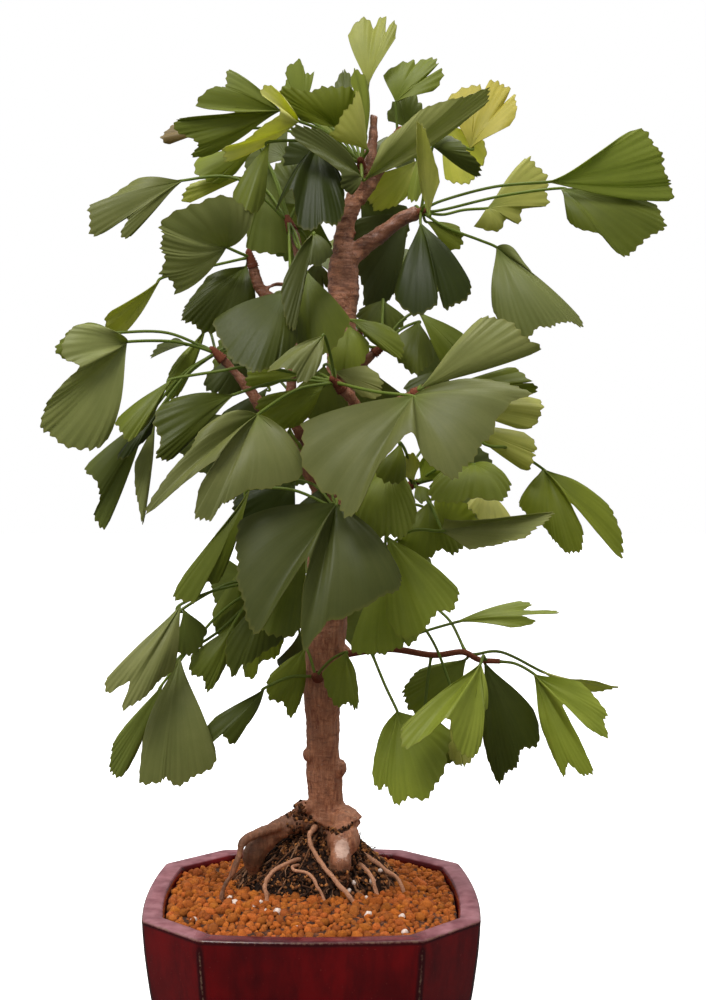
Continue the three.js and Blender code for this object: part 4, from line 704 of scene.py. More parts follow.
# ---- materials ----------------------------------------------------------------------------------
class Tree:
    """The node tree of a material or world, with short calls that return output sockets."""

    def __init__(self, owner):
        owner.use_nodes = True
        self.owner = owner
        self.nodes = owner.node_tree.nodes
        self.links = owner.node_tree.links

    def node(self, kind, inputs, out=0, **settings):
        made = self.nodes.new("ShaderNode" + kind)
        for name, value in settings.items():
            setattr(made, name, value)
        for key, value in inputs.items():
            self.put(made.inputs[key], value)
        return made.outputs[out]

    def put(self, socket, value):
        if isinstance(value, bpy.types.NodeSocket):
            self.links.new(value, socket)
        else:
            socket.default_value = value

    def set(self, **values):
        for name, value in values.items():
            self.put(self.nodes["Principled BSDF"].inputs[name.replace("_", " ")], value)

    def place(self, stretch=(1, 1, 1)):
        """Position on the piece, in millimetres, stretched along each axis."""
        here = self.node("TexCoord", {}, "Object")
        scale = tuple(share / MM for share in stretch)
        return self.node("VectorMath", {0: here, 1: scale}, operation="MULTIPLY")

    def noise(self, vector, scale, detail=3, roughness=0.55):
        inputs = {"Vector": vector, "Scale": scale, "Detail": detail, "Roughness": roughness}
        return self.node("TexNoise", inputs, "Fac")

    def ramp(self, value, low, high, start=0, end=1):
        inputs = {"Value": value, "From Min": low, "From Max": high, "To Min": start, "To Max": end}
        return self.node("MapRange", inputs, clamp=True)

    def math(self, operation, a, b=0.0):
        return self.node("Math", {0: a, 1: b}, operation=operation)

    def plus(self, a, b):
        return self.math("ADD", a, b)

    def minus(self, a, b):
        return self.math("SUBTRACT", a, b)

    def times(self, a, b):
        return self.math("MULTIPLY", a, b)

    def mix(self, share, a, b, blend="MIX"):
        inputs = {0: share, 6: a, 7: b}
        return self.node("Mix", inputs, 2, data_type="RGBA", blend_type=blend)

    def scaled(self, colour, red, green, blue):
        return self.mix(1.0, colour, (red, green, blue, 1), "MULTIPLY")

    def bump(self, height, depth):
        """Relief of the given depth in millimetres."""
        inputs = {"Height": height, "Distance": depth * MM, "Strength": 1.0}
        return self.node("Bump", inputs)

    def mark(self, index):
        """One of the three numbers that a piece's points carry."""
        marks = self.node("Attribute", {}, "Color", attribute_name="marks")
        return self.node("SeparateColor", {"Color": marks}, index)

    def tint(self):
        return self.node("Attribute", {}, "Color", attribute_name="tint")


def material_tree(name):
    return Tree(bpy.data.materials.new(name))


def leaf_material():
    """Tint from the piece. Marks are millimetres across, measured along the outer edge, then the
    share of the way out, then 1 on the under face."""
    t = material_tree("ginkgo_leaf")
    across = t.mark(0)
    out = t.mark(1)
    under = t.mark(2)
    here = t.place()
    ribs = []
    for spacing, low, high in ((8.0, 0.05, 0.3), (4.0, 0.25, 0.55), (2.0, 0.45, 0.9)):
        wave = t.math("SINE", t.times(across, 2 * math.pi / spacing))
        ribs.append(t.times(wave, t.ramp(out, low, high)))
    rib = t.plus(t.plus(ribs[0], ribs[1]), ribs[2])
    vein = t.ramp(rib, 0.2, 1.8)
    patch = t.ramp(t.noise(here, 0.05), 0.35, 0.65)
    fleck = t.ramp(t.noise(here, 0.9, 4), 0.3, 0.75)
    fan = t.node("CombineXYZ", {0: across, 1: t.times(out, 4.0)})
    streak = t.noise(fan, 0.22, 4)
    colour = t.tint()
    pale = t.scaled(colour, 1.5, 1.4, 1.6)
    deep = t.scaled(colour, 0.62, 0.66, 0.4)
    colour = t.mix(t.times(patch, 0.35), colour, pale)
    colour = t.mix(t.ramp(streak, 0.42, 0.68, 0, 0.18), colour, deep)
    colour = t.mix(t.times(vein, 0.13), colour, pale)
    colour = t.mix(t.times(fleck, 0.14), colour, deep)
    colour = t.mix(t.times(under, 0.3), colour, rgba((116, 126, 70)))
    colour = t.mix(t.ramp(out, 0.97, 1.0, 0, 0.35), colour, rgba((122, 116, 48)))
    relief = t.plus(t.times(rib, 0.05), t.times(t.noise(here, 1.4, 3), 0.5))
    t.set(Base_Color=colour, Roughness=t.ramp(fleck, 0, 1, 0.4, 0.52), Normal=t.bump(relief, 0.07))
    t.set(Specular_IOR_Level=0.24)
    glow = t.scaled(colour, 1.75, 1.9, 0.35)
    through = t.node("BsdfTranslucent", {"Color": glow}, "BSDF")
    both = t.node("MixShader", {0: 0.3, 1: t.nodes["Principled BSDF"].outputs[0], 2: through})
    t.put(t.nodes["Material Output"].inputs["Surface"], both)
    return t.owner


def bark_material():
    """Marks are closeness to the soil, where the wood is darkened by soil stain and painted shade, to the
    pale scar and to a branch's young end.
    """
    t = material_tree("ginkgo_bark")
    low = t.mark(0)
    scar = t.mark(1)
    young = t.mark(2)
    here = t.place()
    fibre = t.noise(t.place((1, 1, 0.16)), 0.55, 5, 0.65)
    ring = t.noise(t.place((0.3, 0.3, 1)), 0.5, 4, 0.65)
    blotch = t.noise(here, 0.11, 3)
    grain = t.noise(here, 1.6, 4, 0.7)
    upper = t.ramp(t.node("SeparateXYZ", {0: here}, "Z"), *YOUNG_BARK)
    band = t.noise(t.place((0.35, 0.35, 1)), 0.3, 4, 0.7)
    lenticel = t.ramp(t.noise(t.place((0.45, 0.45, 1)), 0.85, 1), 0.66, 0.74)
    colour = t.mix(t.ramp(fibre, 0.32, 0.68), rgba((128, 72, 48)), rgba((204, 138, 98)))
    colour = t.mix(t.ramp(blotch, 0.42, 0.66, 0, 0.6), colour, rgba((160, 110, 82)))
    colour = t.mix(t.ramp(ring, 0.55, 0.7, 0, 0.5), colour, rgba((70, 38, 26)))
    ringed = t.mix(t.ramp(band, 0.34, 0.6), rgba((92, 46, 26)), rgba((214, 146, 108)))
    colour = t.mix(t.times(upper, 0.8), colour, ringed)
    # painted shade: the upper bark darker and redder in its creases, which the relief also sinks
    shaded_crease = t.times(upper, t.ramp(t.noise(here, 0.16, 3, 0.6), 0.56, 0.66, 0, 0.5))
    colour = t.mix(shaded_crease, colour, rgba((112, 50, 28)))
    colour = t.mix(t.times(lenticel, 0.55), colour, rgba((188, 150, 122)))
    colour = t.mix(t.ramp(grain, 0.3, 0.45, 0.35, 0), colour, rgba((40, 26, 18)))
    # darker towards the soil: soil stain on the foot and painted shade on the lower wood
    soil_stain_and_shade = t.times(low, t.ramp(blotch, 0.3, 0.6, 0.45, 0.95))
    colour = t.mix(soil_stain_and_shade, colour, rgba((78, 52, 32)))
    colour = t.mix(t.times(young, 0.5), colour, rgba((112, 62, 36)))
    flaked = t.plus(scar, t.times(t.noise(here, 0.45, 4, 0.7), 1.1))
    colour = t.mix(t.ramp(flaked, 0.86, 1.12, 0, 0.9), colour, rgba((222, 184, 164)))
    relief = t.plus(t.times(fibre, 0.8), t.times(ring, 0.7))
    relief = t.plus(relief, t.times(grain, 0.35))
    rough = t.minus(t.ramp(grain, 0.2, 0.8, 0.42, 0.66), t.times(upper, 0.16))
    relief = t.minus(relief, t.times(shaded_crease, 0.8))
    t.set(Base_Color=colour, Roughness=rough, Normal=t.bump(relief, 0.9))
    t.set(Specular_IOR_Level=0.45, Coat_Weight=t.times(upper, 0.3), Coat_Roughness=0.35)
    return t.owner


def grain_material(name, roughness, depth, pores):
    """Crumbly mineral or plant matter in the tint of its piece."""
    t = material_tree(name)
    here = t.place()
    pit = t.noise(here, pores, 4, 0.65)
    patch = t.noise(here, pores * 0.22, 2)
    dark = t.scaled(t.tint(), 0.5, 0.42, 0.36)
    light = t.scaled(t.tint(), 1.22, 1.26, 1.35)
    colour = t.mix(t.ramp(pit, 0.3, 0.7), dark, light)
    colour = t.mix(t.ramp(patch, 0.35, 0.65, 0, 0.35), colour, t.tint())
    t.set(Base_Color=colour, Roughness=roughness, Normal=t.bump(pit, depth))
    t.set(Specular_IOR_Level=0.2)
    return t.owner


def soil_material():
    """Shaded clay dust between and under the granules."""
    t = material_tree("akadama_bed")
    cells = t.node("TexVoronoi", {"Vector": t.place(), "Scale": 0.22}, "Distance")
    dust = t.noise(t.place(), 0.8, 4)
    colour = t.mix(t.ramp(dust, 0.3, 0.7), rgba((92, 46, 20)), rgba((136, 74, 32)))
    colour = t.mix(t.ramp(cells, 0.1, 0.5), colour, rgba((62, 32, 14)))
    t.set(Base_Color=colour, Roughness=0.95, Normal=t.bump(cells, 1.5))
    return t.owner


def screen_material():
    t = material_tree("drain_screen")
    dust = t.noise(t.place(), 0.5, 3)
    colour = t.mix(t.ramp(dust, 0.45, 0.7, 0, 0.6), rgba((38, 40, 40)), rgba((92, 70, 52)))
    t.set(Base_Color=colour, Roughness=t.ramp(dust, 0.3, 0.7, 0.5, 0.8), Normal=t.bump(dust, 0.1))
    return t.owner


def glaze_material():
    """Marks are thin glaze along an edge with a band of painted shade about it, the lip with a painted
    pinkish reflection and a rougher finish, and bare clay under the pot.
    """
    t = material_tree("oxblood_glaze")
    edge = t.mark(0)
    lip = t.mark(1)
    bare = t.mark(2)
    here = t.place()
    cloud = t.noise(here, 0.022, 3)
    run = t.noise(t.place((1, 1, 0.3)), 0.09, 4, 0.6)
    speck = t.noise(here, 0.8, 2)
    broken = t.noise(here, 0.45, 4, 0.7)
    colour = t.mix(t.ramp(cloud, 0.35, 0.65), rgba((74, 2, 5)), rgba((104, 4, 7)))
    colour = t.mix(t.ramp(run, 0.42, 0.7, 0, 0.6), colour, rgba((46, 1, 5)))
    # painted shade: a dark band about the corners, the inside corners and the lip's outer edge
    colour = t.mix(t.ramp(edge, 0.02, 0.4, 0, 0.8), colour, rgba((30, 2, 6)))
    colour = t.mix(t.ramp(speck, 0.7, 0.78, 0, 0.35), colour, rgba((168, 84, 70)))
    # painted reflection: a pale pinkish sheen painted on the lip's top, weaker along the front
    painted_lip_sheen = t.mix(t.ramp(run, 0.35, 0.65), rgba((176, 124, 130)), rgba((128, 72, 80)))
    colour = t.mix(t.times(lip, 0.7), colour, painted_lip_sheen)
    thin = t.times(edge, t.ramp(broken, 0.3, 0.6, 0.6, 1.2))
    colour = t.mix(t.ramp(thin, 0.66, 1.05), colour, rgba((112, 86, 70)))
    colour = t.mix(bare, colour, t.mix(t.ramp(broken, 0.3, 0.7), rgba((150, 104, 78)), rgba((176, 130, 102))))
    rough = t.ramp(t.plus(t.times(lip, 0.16), t.times(bare, 0.6)), 0, 0.6, 0.16, 0.75)
    relief = t.plus(t.times(cloud, 0.9), t.times(run, 0.25))
    t.set(Base_Color=colour, Roughness=rough, Normal=t.bump(relief, 0.5))
    t.set(Specular_IOR_Level=0.3)
    return t.owner


def paper_material():
    """Pale to the camera, and darker in what the glaze reflects, like a studio beyond the table."""
    t = material_tree("studio_floor")
    grain = t.noise(t.place(), 0.02, 2)
    seen = t.node("LightPath", {}, "Is Camera Ray")
    paper = t.mix(grain, (0.84, 0.84, 0.84, 1), (0.9, 0.9, 0.9, 1))
    t.set(Base_Color=t.mix(seen, (0.08, 0.08, 0.08, 1), paper), Roughness=0.9)
    t.set(Emission_Color=(1, 1, 1, 1), Emission_Strength=t.times(seen, 0.62))
    return t.owner


LEAF = leaf_material()
BARK = bark_material()
GRANULE = grain_material("akadama_granule", 0.92, 0.5, 0.9)
FIBRE = grain_material("root_fibre", 0.85, 0.3, 1.1)
BED = soil_material()
SCREEN = screen_material()
GLAZE = glaze_material()


# ---- pot ----------------------------------------------------------------------------------------
def pot_outline(half):
    """Ring of points about a square with cut corners, its long sides bowed and its corners eased.
    Also returns how close each point is to a corner."""
    flat = half * (1 - POT_CUT)
    before, low, high, after = np.array([[flat, -half], [half, -flat], [half, flat], [flat, half]])
    quarter = []
    for corner, come, go in ((low, before, high), (high, low, after)):
        start = corner + unit(come - corner) * EDGE_ROUNDING
        end = corner + unit(go - corner) * EDGE_ROUNDING
        for u in np.linspace(0, 1, CORNER_STEPS):
            point = (1 - u) ** 2 * start + 2 * u * (1 - u) * corner + u**2 * end
            quarter.append((point, 1 - abs(2 * u - 1)))
        if corner is low:
            for u in np.linspace(-1, 1, SIDE_STEPS)[1:-1]:
                bow = POT_SIDE_BOW * (1 - u * u)
                quarter.append((np.array([half + bow, u * (flat - EDGE_ROUNDING)]), 0))
    for u in (0.25, 0.5, 0.75):
        quarter.append((high + (after - high) * u, 0))
    ring = []
    nearness = []
    for side in range(4):
        turn = side * math.pi / 2
        spin = np.array([[math.cos(turn), -math.sin(turn)], [math.sin(turn), math.cos(turn)]])
        for point, near in quarter:
            ring.append(spin @ point * [1, POT_DEPTH])
            nearness.append(near)
    return np.array(ring), np.array(nearness)


def build_pot():
    outside = np.maximum(curve(POT_OUTSIDE, 6), [0, POT_OUTSIDE[0][1]])
    profile = np.vstack([outside, POT_LIP, curve(POT_INSIDE, 5)])
    rings = []
    marks = []
    for i, (z, half) in enumerate(profile):
        ring, nearness = pot_outline(half)
        rings.append(np.column_stack([ring, np.full(len(ring), z)]))
        outer = i < len(outside)
        # The edge mark gives thin glaze on the corners and the lip's outer edge, and also a band of painted
        # shade about them.
        from_rim = (z - RIM_EDGE[0]) ** 2 + (half - RIM_EDGE[1]) ** 2
        rim = float(np.exp(-(from_rim / RIM_EDGE_SPREAD)))
        edge = np.maximum(nearness * (THIN_OUTSIDE if outer else THIN_INSIDE), rim)
        # The lip carries a painted reflection, which is weaker along the front.
        in_front = (ring[:, 1] < -0.8 * half) * np.interp(np.abs(ring[:, 0]), [60, 70], [1, 0])
        lip = (z > LIP_ABOVE) * (1 - 0.8 * in_front)
        bare = np.full(len(ring), float(z < BARE_BELOW and outer))
        marks.append(np.column_stack([edge, lip, bare]))
    skin = Skin()
    skin.grid(np.array(rings), True, True, marks=np.vstack(marks))
    pot = skin.piece("pot_glazed", [GLAZE], ["pot"])
    reach = 1.2 * POT_OUTSIDE[0][1]
    for x in (-DRAIN_X, DRAIN_X):
        drain = Skin()
        drain.tube([[x, 0, -5], [x, 0, POT_FLOOR + 5]], [DRAIN_RADIUS] * 2, 32)
        cut_away(pot, drain)
        groove = Skin()
        groove.tube([[x, -reach, 0], [x, reach, 0]], [GROOVE_WIDTH / 2] * 2, 24)
        groove.points[0][:, 2] *= 2 * GROOVE_DEPTH / GROOVE_WIDTH
        cut_away(pot, groove)


def cut_away(target, cutter):
    """Takes the cutter's solid out of a piece for good."""
    tool = add_object("cutter", cutter.mesh("cutter"))
    cut = target.modifiers.new("cut", "BOOLEAN")
    cut.object = tool
    cut.operation = "DIFFERENCE"
    cut.solver = "EXACT"
    apply_modifiers(target)
    bpy.data.objects.remove(tool)


def apply_modifiers(thing):
    depsgraph = bpy.context.evaluated_depsgraph_get()
    depsgraph.update()
    thing.data = bpy.data.meshes.new_from_object(thing.evaluated_get(depsgraph), depsgraph=depsgraph)
    thing.modifiers.clear()


# ---- soil ---------------------------------------------------------------------------------------
def between(rows, at):
    """The rows' second number where their first one, which rises from row to row, is at."""
    return float(np.interp(at, *zip(*rows)))


SOIL_HALF = between(sorted([*POT_INSIDE, INSIDE_TOP]), SOIL_EDGE_HEIGHT)
MOUND_SLOPE = [(0, MOUND_TOP), *[(radius, z) for z, radius in reversed(MOUND_RINGS)]]


def soil_height(x, y):
    """Height of the soil, and how far out towards the pot's inside the spot is."""
    flat = SOIL_HALF * (1 - POT_CUT)
    y /= POT_DEPTH
    bows = [POT_SIDE_BOW * max(0, 1 - (along / flat) ** 2) for along in (y, x)]
    share = max(
        abs(x) / (SOIL_HALF + bows[0]), abs(y) / (SOIL_HALF + bows[1]), (abs(x) + abs(y)) / (SOIL_HALF + flat)
    )
    return SOIL_EDGE_HEIGHT + SOIL_CROWN * (1 - share**2), share


def mound_distance(x, y):
    """Distance from the mound's middle, measured along its long axis."""
    return math.hypot(x - MOUND_CENTRE[0] - 0.6 * MOUND_LEAN, (y - MOUND_CENTRE[1]) / MOUND_DEPTH)


def mound_point(angle, z, proud):
    radius = between(MOUND_RINGS, z)
    lean = MOUND_LEAN * (1 - radius / MOUND_RINGS[0][1])
    return np.array([
        MOUND_CENTRE[0] + lean + math.cos(angle) * (radius + proud),
        MOUND_CENTRE[1] + math.sin(angle) * (radius + proud) * MOUND_DEPTH,
        z
    ])


def seen_on_surface(x, z):
    """Where the line of sight through a spot of the elevation meets the soil or the mound."""
    for y in np.arange(*SIGHT_DEPTHS):
        point = place([x, y, z])
        mound = between(MOUND_SLOPE, mound_distance(point[0], point[1]))
        if point[2] <= max(soil_height(point[0], point[1])[0], mound):
            return point
    return place([x, 0, z])


def build_granules():
    skin = Skin()
    placed = np.zeros((0, 3))
    reach = SOIL_HALF + POT_SIDE_BOW
    tries = 0
    while len(placed) < GRANULES and tries < GRANULE_TRIES:
        tries += 1
        size = rng.choice([rng.uniform(*band) for band in GRANULE_SIZES], p=GRANULE_SHARES)
        x, y = rng.uniform(-reach, reach, 2)
        height, share = soil_height(x, y)
        at_wall = share > 1 - (size + 0.4) / SOIL_HALF
        if at_wall or mound_distance(x, y) < UNDER_MOUND * MOUND_RINGS[1][1]:
            continue
        gaps = np.hypot(placed[:, 0] - x, placed[:, 1] - y) - GRANULE_SPACING * (placed[:, 2] + size)
        if len(placed) and gaps.min() < 0:
            continue
        placed = np.vstack([placed, [x, y, size]])
        centre = np.array([x, y, height + 0.15 * size + rng.uniform(-0.8, 1.0)])
        warm = rng.uniform(0.6, 1.15)
        tone = np.array([1, rng.uniform(0.9, 1.12), rng.uniform(0.8, 1.25)])
        grain = lump(BALL_POINTS, centre, size, 0.13)
        skin.add(grain, BALL_FACES, colour=linear(GRANULE_COLOUR) * warm * tone)
    skin.piece("akadama_granules", [GRANULE])


def build_pumice():
    skin = Skin()
    for x, z in PUMICE:
        point = seen_on_surface(x, z)
        point[2] += 1.2
        bit = lump(BALL_POINTS, point, rng.uniform(1.5, 2.7), 0.11)
        skin.add(bit, BALL_FACES, colour=linear(PUMICE_COLOUR))
    skin.piece("pumice_bits", [GRANULE])


def crumb_colour(light_share):
    """Old soil: mostly dark, with some brown and a share of light grains."""
    tone = rng.choice(3, p=[0.6 * (1 - light_share), 0.4 * (1 - light_share), light_share])
    return linear(CRUMB_COLOURS[tone]) * rng.uniform(0.6, 1.3)


def build_mound(wood):
    """Packed old soil, deeply furrowed, under a net of roots."""
    skin = Skin()
    rows = []
    for z in MOUND_LEVELS:
        row = []
        for angle in np.linspace(0, 2 * math.pi, MOUND_COLUMNS, endpoint=False):
            spot = mound_point(angle, z, 0)
            furrow = noise.noise(Vector((spot[0] * 0.11, spot[1] * 0.11, z * 0.05)))
            crumb = noise.noise(Vector(spot) * 0.42)
            row.append(mound_point(angle, z, -1.2 + 3.4 * furrow + 1.6 * crumb))
        rows.append(row)
    skin.grid(np.array(rows), True, True, colour=linear(MOUND_COLOUR))
    for _ in range(MOUND_CRUMBS):
        side = rng.choice(3, p=MOUND_SIDE_SHARES)
        angle = rng.uniform(*MOUND_SIDES[side])
        spot = mound_point(angle, rng.uniform(*CRUMB_HEIGHTS), rng.uniform(-0.6, 0.8))
        size = rng.uniform(0.5, 1.7 if side == 0 else 1.3)
        crumb = lump(CRUMB_POINTS, spot, size, 0.14)
        skin.add(crumb, CRUMB_FACES, colour=crumb_colour(0.35 if side == 0 else 0.2))
    corners = [vertex.co for vertex in wood.data.vertices]
    bark = BVHTree.FromPolygons(corners, [tuple(face.vertices) for face in wood.data.polygons])
    eye = Vector((EYE_X, -EYE_DISTANCE, EYE_Z)) * MM
    # Left of the knee, soil reaches up to the bark's end. On the knee it clings to that and the foot.
    for _ in range(FOOT_CRUMBS):
        x = rng.uniform(*FOOT_X)
        low, top = FOOT_HEIGHTS
        if x > TRUNK_LEFT:
            top = between(BARK_END, x)
        if x > KNEE_LEFT:
            on_foot = rng.random() < KNEE_FOOT_SHARE
            low, top = KNEE_FOOT_HEIGHTS if on_foot else (top - 2.5, top + 0.5)
        sight = Vector(place([x, 0, rng.uniform(low, top)]) * MM) - eye
        spot = bark.ray_cast(eye, sight)[0]
        if spot:
            crumb = lump(CRUMB_POINTS, np.array(spot) / MM, rng.uniform(0.5, 1.7), 0.16)
            skin.add(crumb, CRUMB_FACES, colour=crumb_colour(0.12))
    skin.piece("root_mound", [FIBRE], ["fibrous_root_mound"])


def root_colour(low, high):
    return linear(ROOT_COLOURS[rng.integers(len(ROOT_COLOURS))]) * rng.uniform(low, high)


def build_fine_roots():
    """The net of roots on the mound, the hairs between them and the roots that run into the soil."""
    skin = Skin()
    for _ in range(MOUND_ROOTS):
        angle = rng.uniform(-math.pi, math.pi)
        high = rng.uniform(*ROOT_TOPS)
        low = rng.uniform(*ROOT_ENDS)
        if rng.random() < SHORT_ROOT_SHARE:
            low = high - rng.uniform(*SHORT_ROOT_DROP)
        drift = rng.uniform(-0.5, 0.5)
        wobble = rng.uniform(0.02, 0.1)
        phase = rng.uniform(0, 6)
        path = []
        for u in np.linspace(0, 1, 12):
            z = high + (low - high) * u
            turn = angle + drift * u + wobble * math.sin(7 * u + phase) + 0.02 * rng.normal()
            path.append(mound_point(turn, z, 0.3 + 1.6 * math.sin(3 * u + phase) ** 2))
        thick = rng.choice(ROOT_RADII, p=ROOT_RADIUS_SHARES)
        skin.tube(path, thick * np.linspace(1.15, 0.55, 12), 6, colour=root_colour(0.55, 1.1))
    for _ in range(ROOT_HAIRS):
        angle = rng.uniform(-math.pi, math.pi)
        spot = mound_point(angle, rng.uniform(*HAIR_HEIGHTS), 0)
        lean = unit(rng.normal(size=3) + np.array([math.cos(angle), math.sin(angle), -0.6]))
        reach = rng.uniform(*HAIR_LENGTHS)
        curl = rng.normal(size=3) * 1.6
        path = [spot + lean * reach * u + curl * math.sin(math.pi * u) for u in np.linspace(0, 1, 6)]
        skin.tube(path, HAIR_RADIUS * np.linspace(1.1, 0.5, 6), 4, colour=root_colour(0.6, 1.2))
    for rows in SURFACE_ROOTS[THICK_ROOTS:]:
        path, radii = limb(rows, 8)
        sway = np.array([noise.noise_vector(Vector(point) * 0.14)[:] for point in path])
        colour = linear(SURFACE_ROOT_COLOUR) * rng.uniform(0.8, 1.1)
        skin.tube(path + 1.4 * sway, radii * (0.95 + 0.3 * bumps(path, 0.35)), 10, colour=colour)
    skin.piece("fine_roots", [FIBRE])


# ---- wood ---------------------------------------------------------------------------------------
def build_wood():
    skin = Skin()
    for rows in (TRUNK, *BRANCHES.values(), *TWIGS, *SURFACE_ROOTS[:THICK_ROOTS]):
        path, radii = limb(rows, 6)
        skin.tube(path, radii * (1 + 0.09 * bumps(path, 0.05) + 0.08 * bumps(path, 0.16, 7)), WOOD_SIDES)
    for x, y, z, *sizes in BURLS:
        skin.add(BALL_POINTS * sizes + place([x, y, z]), BALL_FACES)
    wood = show(skin.mesh("trunk_bark"), "trunk_bark", ["trunk"])
    merge = wood.modifiers.new("merge", "REMESH")
    merge.mode = "VOXEL"
    merge.voxel_size = WOOD_VOXEL * MM
    ease = wood.modifiers.new("ease", "SMOOTH")
    ease.factor = 0.5
    ease.iterations = WOOD_SMOOTHING
    apply_modifiers(wood)
    carve_bark(wood.data)
    wood.data.materials.append(BARK)
    wood.data.shade_smooth()
    return wood


def carve_bark(mesh):
    """Lifts furrows, growth rings and the bark's broken end out of the smooth wood."""
    count = len(mesh.vertices)
    points = np.zeros(count * 3)
    normals = np.zeros(count * 3)
    mesh.vertices.foreach_get("co", points)
    mesh.vertex_normals.foreach_get("vector", normals)
    points = points.reshape(-1, 3) / MM
    normals = normals.reshape(-1, 3)
    marks = np.zeros((count, 3))
    for i, (x, y, z) in enumerate(points):
        furrow, swell, ring, grain = [
            noise.noise(Vector((x * across, y * across, z * along))) for across, along in BARK_SCALES
        ]
        girth = min(1.0, math.hypot(x - 12, y - 6) / 8)
        upper = np.interp(z, YOUNG_BARK, [0, 1])
        height = 0.55 * furrow * (1 - upper) + 0.8 * swell * girth + 0.22 * grain
        height += (0.5 + 0.55 * upper) * abs(ring)
        seen_x, seen_z = elevation(x, y, z)
        above = seen_z - between(BARK_END, seen_x)
        if y < 18 and BARK_END[0][0] < seen_x < BARK_END[-1][0]:
            height += 0.9 * math.exp(-((above - 1) / 1.6) ** 2)
            height -= 1.5 * math.exp(-((above + 1.2) / 0.9) ** 2)
            knee = np.interp(seen_x, [7, 14], [0, 1])
            below = np.interp(above, [-2, -0.5], [1, 0])
            # Below the bark's end the wood darkens towards the soil, with soil stain and painted shade.
            marks[i, 0] = below * max(1 - knee, np.interp(seen_z, [100, 110], [1, 0]))
            scar = math.hypot((seen_x - SCAR[0]) / SCAR[2], (seen_z - SCAR[1]) / SCAR[3])
            marks[i, 1] = below * knee * np.interp(scar, [0.9, 1.05, 2.6], [1, 0.4, 0])
        else:
            # Elsewhere darker towards the bottom, for soil stain and painted shade.
            marks[i, 0] = np.interp(z, [104, 138], [1, 0.45])
        points[i] += normals[i] * height
        marks[i, 2] = np.interp(math.hypot(x - 14, y - 6), [16, 40], [0, 1]) if z > 150 else 0
    mesh.vertices.foreach_set("co", (points * MM).ravel())
    paint(mesh, "marks", marks)


# ---- leaves -------------------------------------------------------------------------------------
def edge_reach(t, notches, seed, length, arc):
    """How far out the toothed edge lies at t, as a share of the plain fan: lobes, teeth, notches."""
    x = arc / 2 * t
    reach = 1 - 0.09 * np.abs(t) ** 7
    swell = LOBE_DEPTH * np.sin(2 * np.pi * x / LOBE_WIDTH + seed) * np.sin(0.41 * x + 2 * seed)
    teeth = TOOTH_DEPTH * np.sin(2 * np.pi * x / TOOTH_WIDTH + 2 * seed + 2 * np.sin(0.6 * x)) ** 3
    reach += (swell + teeth) / length
    for at, depth in notches:
        reach *= 1 - depth * np.maximum(0, 1 - np.abs(t - at) / notch_half_width(depth))
    return reach


def notch_half_width(depth):
    return 0.05 + 0.16 * depth


def edge_stops(row):
    """Points of the blade's outer edge, from its left corner to its right one."""
    left, middle, right = row[1]
    edge = np.reshape(row[2], (-1, 2))
    t = np.linspace(-1, 1, len(edge))
    depths = left * t * (t - 1) / 2 + middle * (1 - t * t) + right * t * (t + 1) / 2
    return np.array([place([x, y, z]) for (x, z), y in zip(edge, depths)])


def edge_point(stops, t):
    """Where a smooth curve through the stops, at equal steps of t from -1 to 1, is at t."""
    slopes = np.gradient(stops, axis=0, edge_order=2)
    at = (t + 1) / 2 * (len(stops) - 1)
    first = np.minimum(at.astype(int), len(stops) - 2)
    u = (at - first)[..., None]
    near = stops[first] * (1 + 2 * u) * (1 - u) ** 2 + slopes[first] * u * (1 - u) ** 2
    return near + stops[first + 1] * u**2 * (3 - 2 * u) + slopes[first + 1] * u**2 * (u - 1)


def blade_width(s):
    """Width of the blade at s, against straight sides from its base to its corners."""
    near = LEAF_NECK + (LEAF_BELLY - LEAF_NECK) * np.sin(np.pi * s / (2 * MIDDLE_ROW))
    far = LEAF_BELLY - (LEAF_BELLY - 1) * ((s - MIDDLE_ROW) / (1 - MIDDLE_ROW)) ** 2
    return np.where(s < MIDDLE_ROW, near, far)


def blade_faces(row, seed):
    """Points of the front and back face, how far each lies across (along the outer edge) and
    outwards, and whether the front is the leaf's upper face."""
    base = place(row[0])
    stops = edge_stops(row)
    notches, bow = row[3:5]
    heading = stops.mean(axis=0) - base
    length = np.linalg.norm(heading)
    arc = np.linalg.norm(np.diff(stops, axis=0), axis=1).sum()
    heading /= length
    facing = unit(np.cross(stops[-1] - stops[0], heading))
    if facing[1] > 0:
        facing = -facing
    side = np.cross(heading, facing)
    large = length > LARGE_LEAF_LENGTH
    steps = np.linspace(-1, 1, FINE_COLUMNS if large or len(stops) > 3 else COARSE_COLUMNS)
    corners = [at + end * notch_half_width(depth) for at, depth in notches for end in (-1, 0, 1)]
    steps = np.unique(np.clip(np.concatenate([steps, corners, np.linspace(-1, 1, len(stops))]), -1, 1))
    t, s = np.meshgrid(steps, np.linspace(0.02, 1, FINE_ROWS if large else COARSE_ROWS))
    out = edge_point(stops, t) - base
    out += ((blade_width(s) - 1) * (out @ side))[..., None] * side
    points = base + out * (s * edge_reach(t, notches, seed, length, arc))[..., None]
    lift = 3.2 * bow * s * (1 - s) + 0.022 * length * s * s * np.sin(5.2 * t + seed)
    lift += PLEAT_HEIGHT * s**1.5 * np.sin(arc / PLEAT_WIDTH * np.pi * t + 2 * seed)
    points = points + lift[..., None] * facing
    normals = np.cross(np.gradient(points, axis=1), np.gradient(points, axis=0))
    normals /= np.linalg.norm(normals, axis=2, keepdims=True) + 1e-9
    normals *= np.sign(np.sum(normals * facing, axis=2, keepdims=True))
    thick = LEAF_THICKNESS / 2 * (1 - 0.4 * s[..., None])
    # The upper face looks up and away from the trunk.
    outward = base + 0.5 * length * heading - place([*TRUNK_MIDDLE, 0.5 * (row[0][2] + row[2][3])])
    upper_in_front = facing.dot(unit(outward * [1, 1, 0] + [0, 0, 25])) >= 0
    return points + normals * thick, points - normals * thick, t * arc / 2, s, upper_in_front


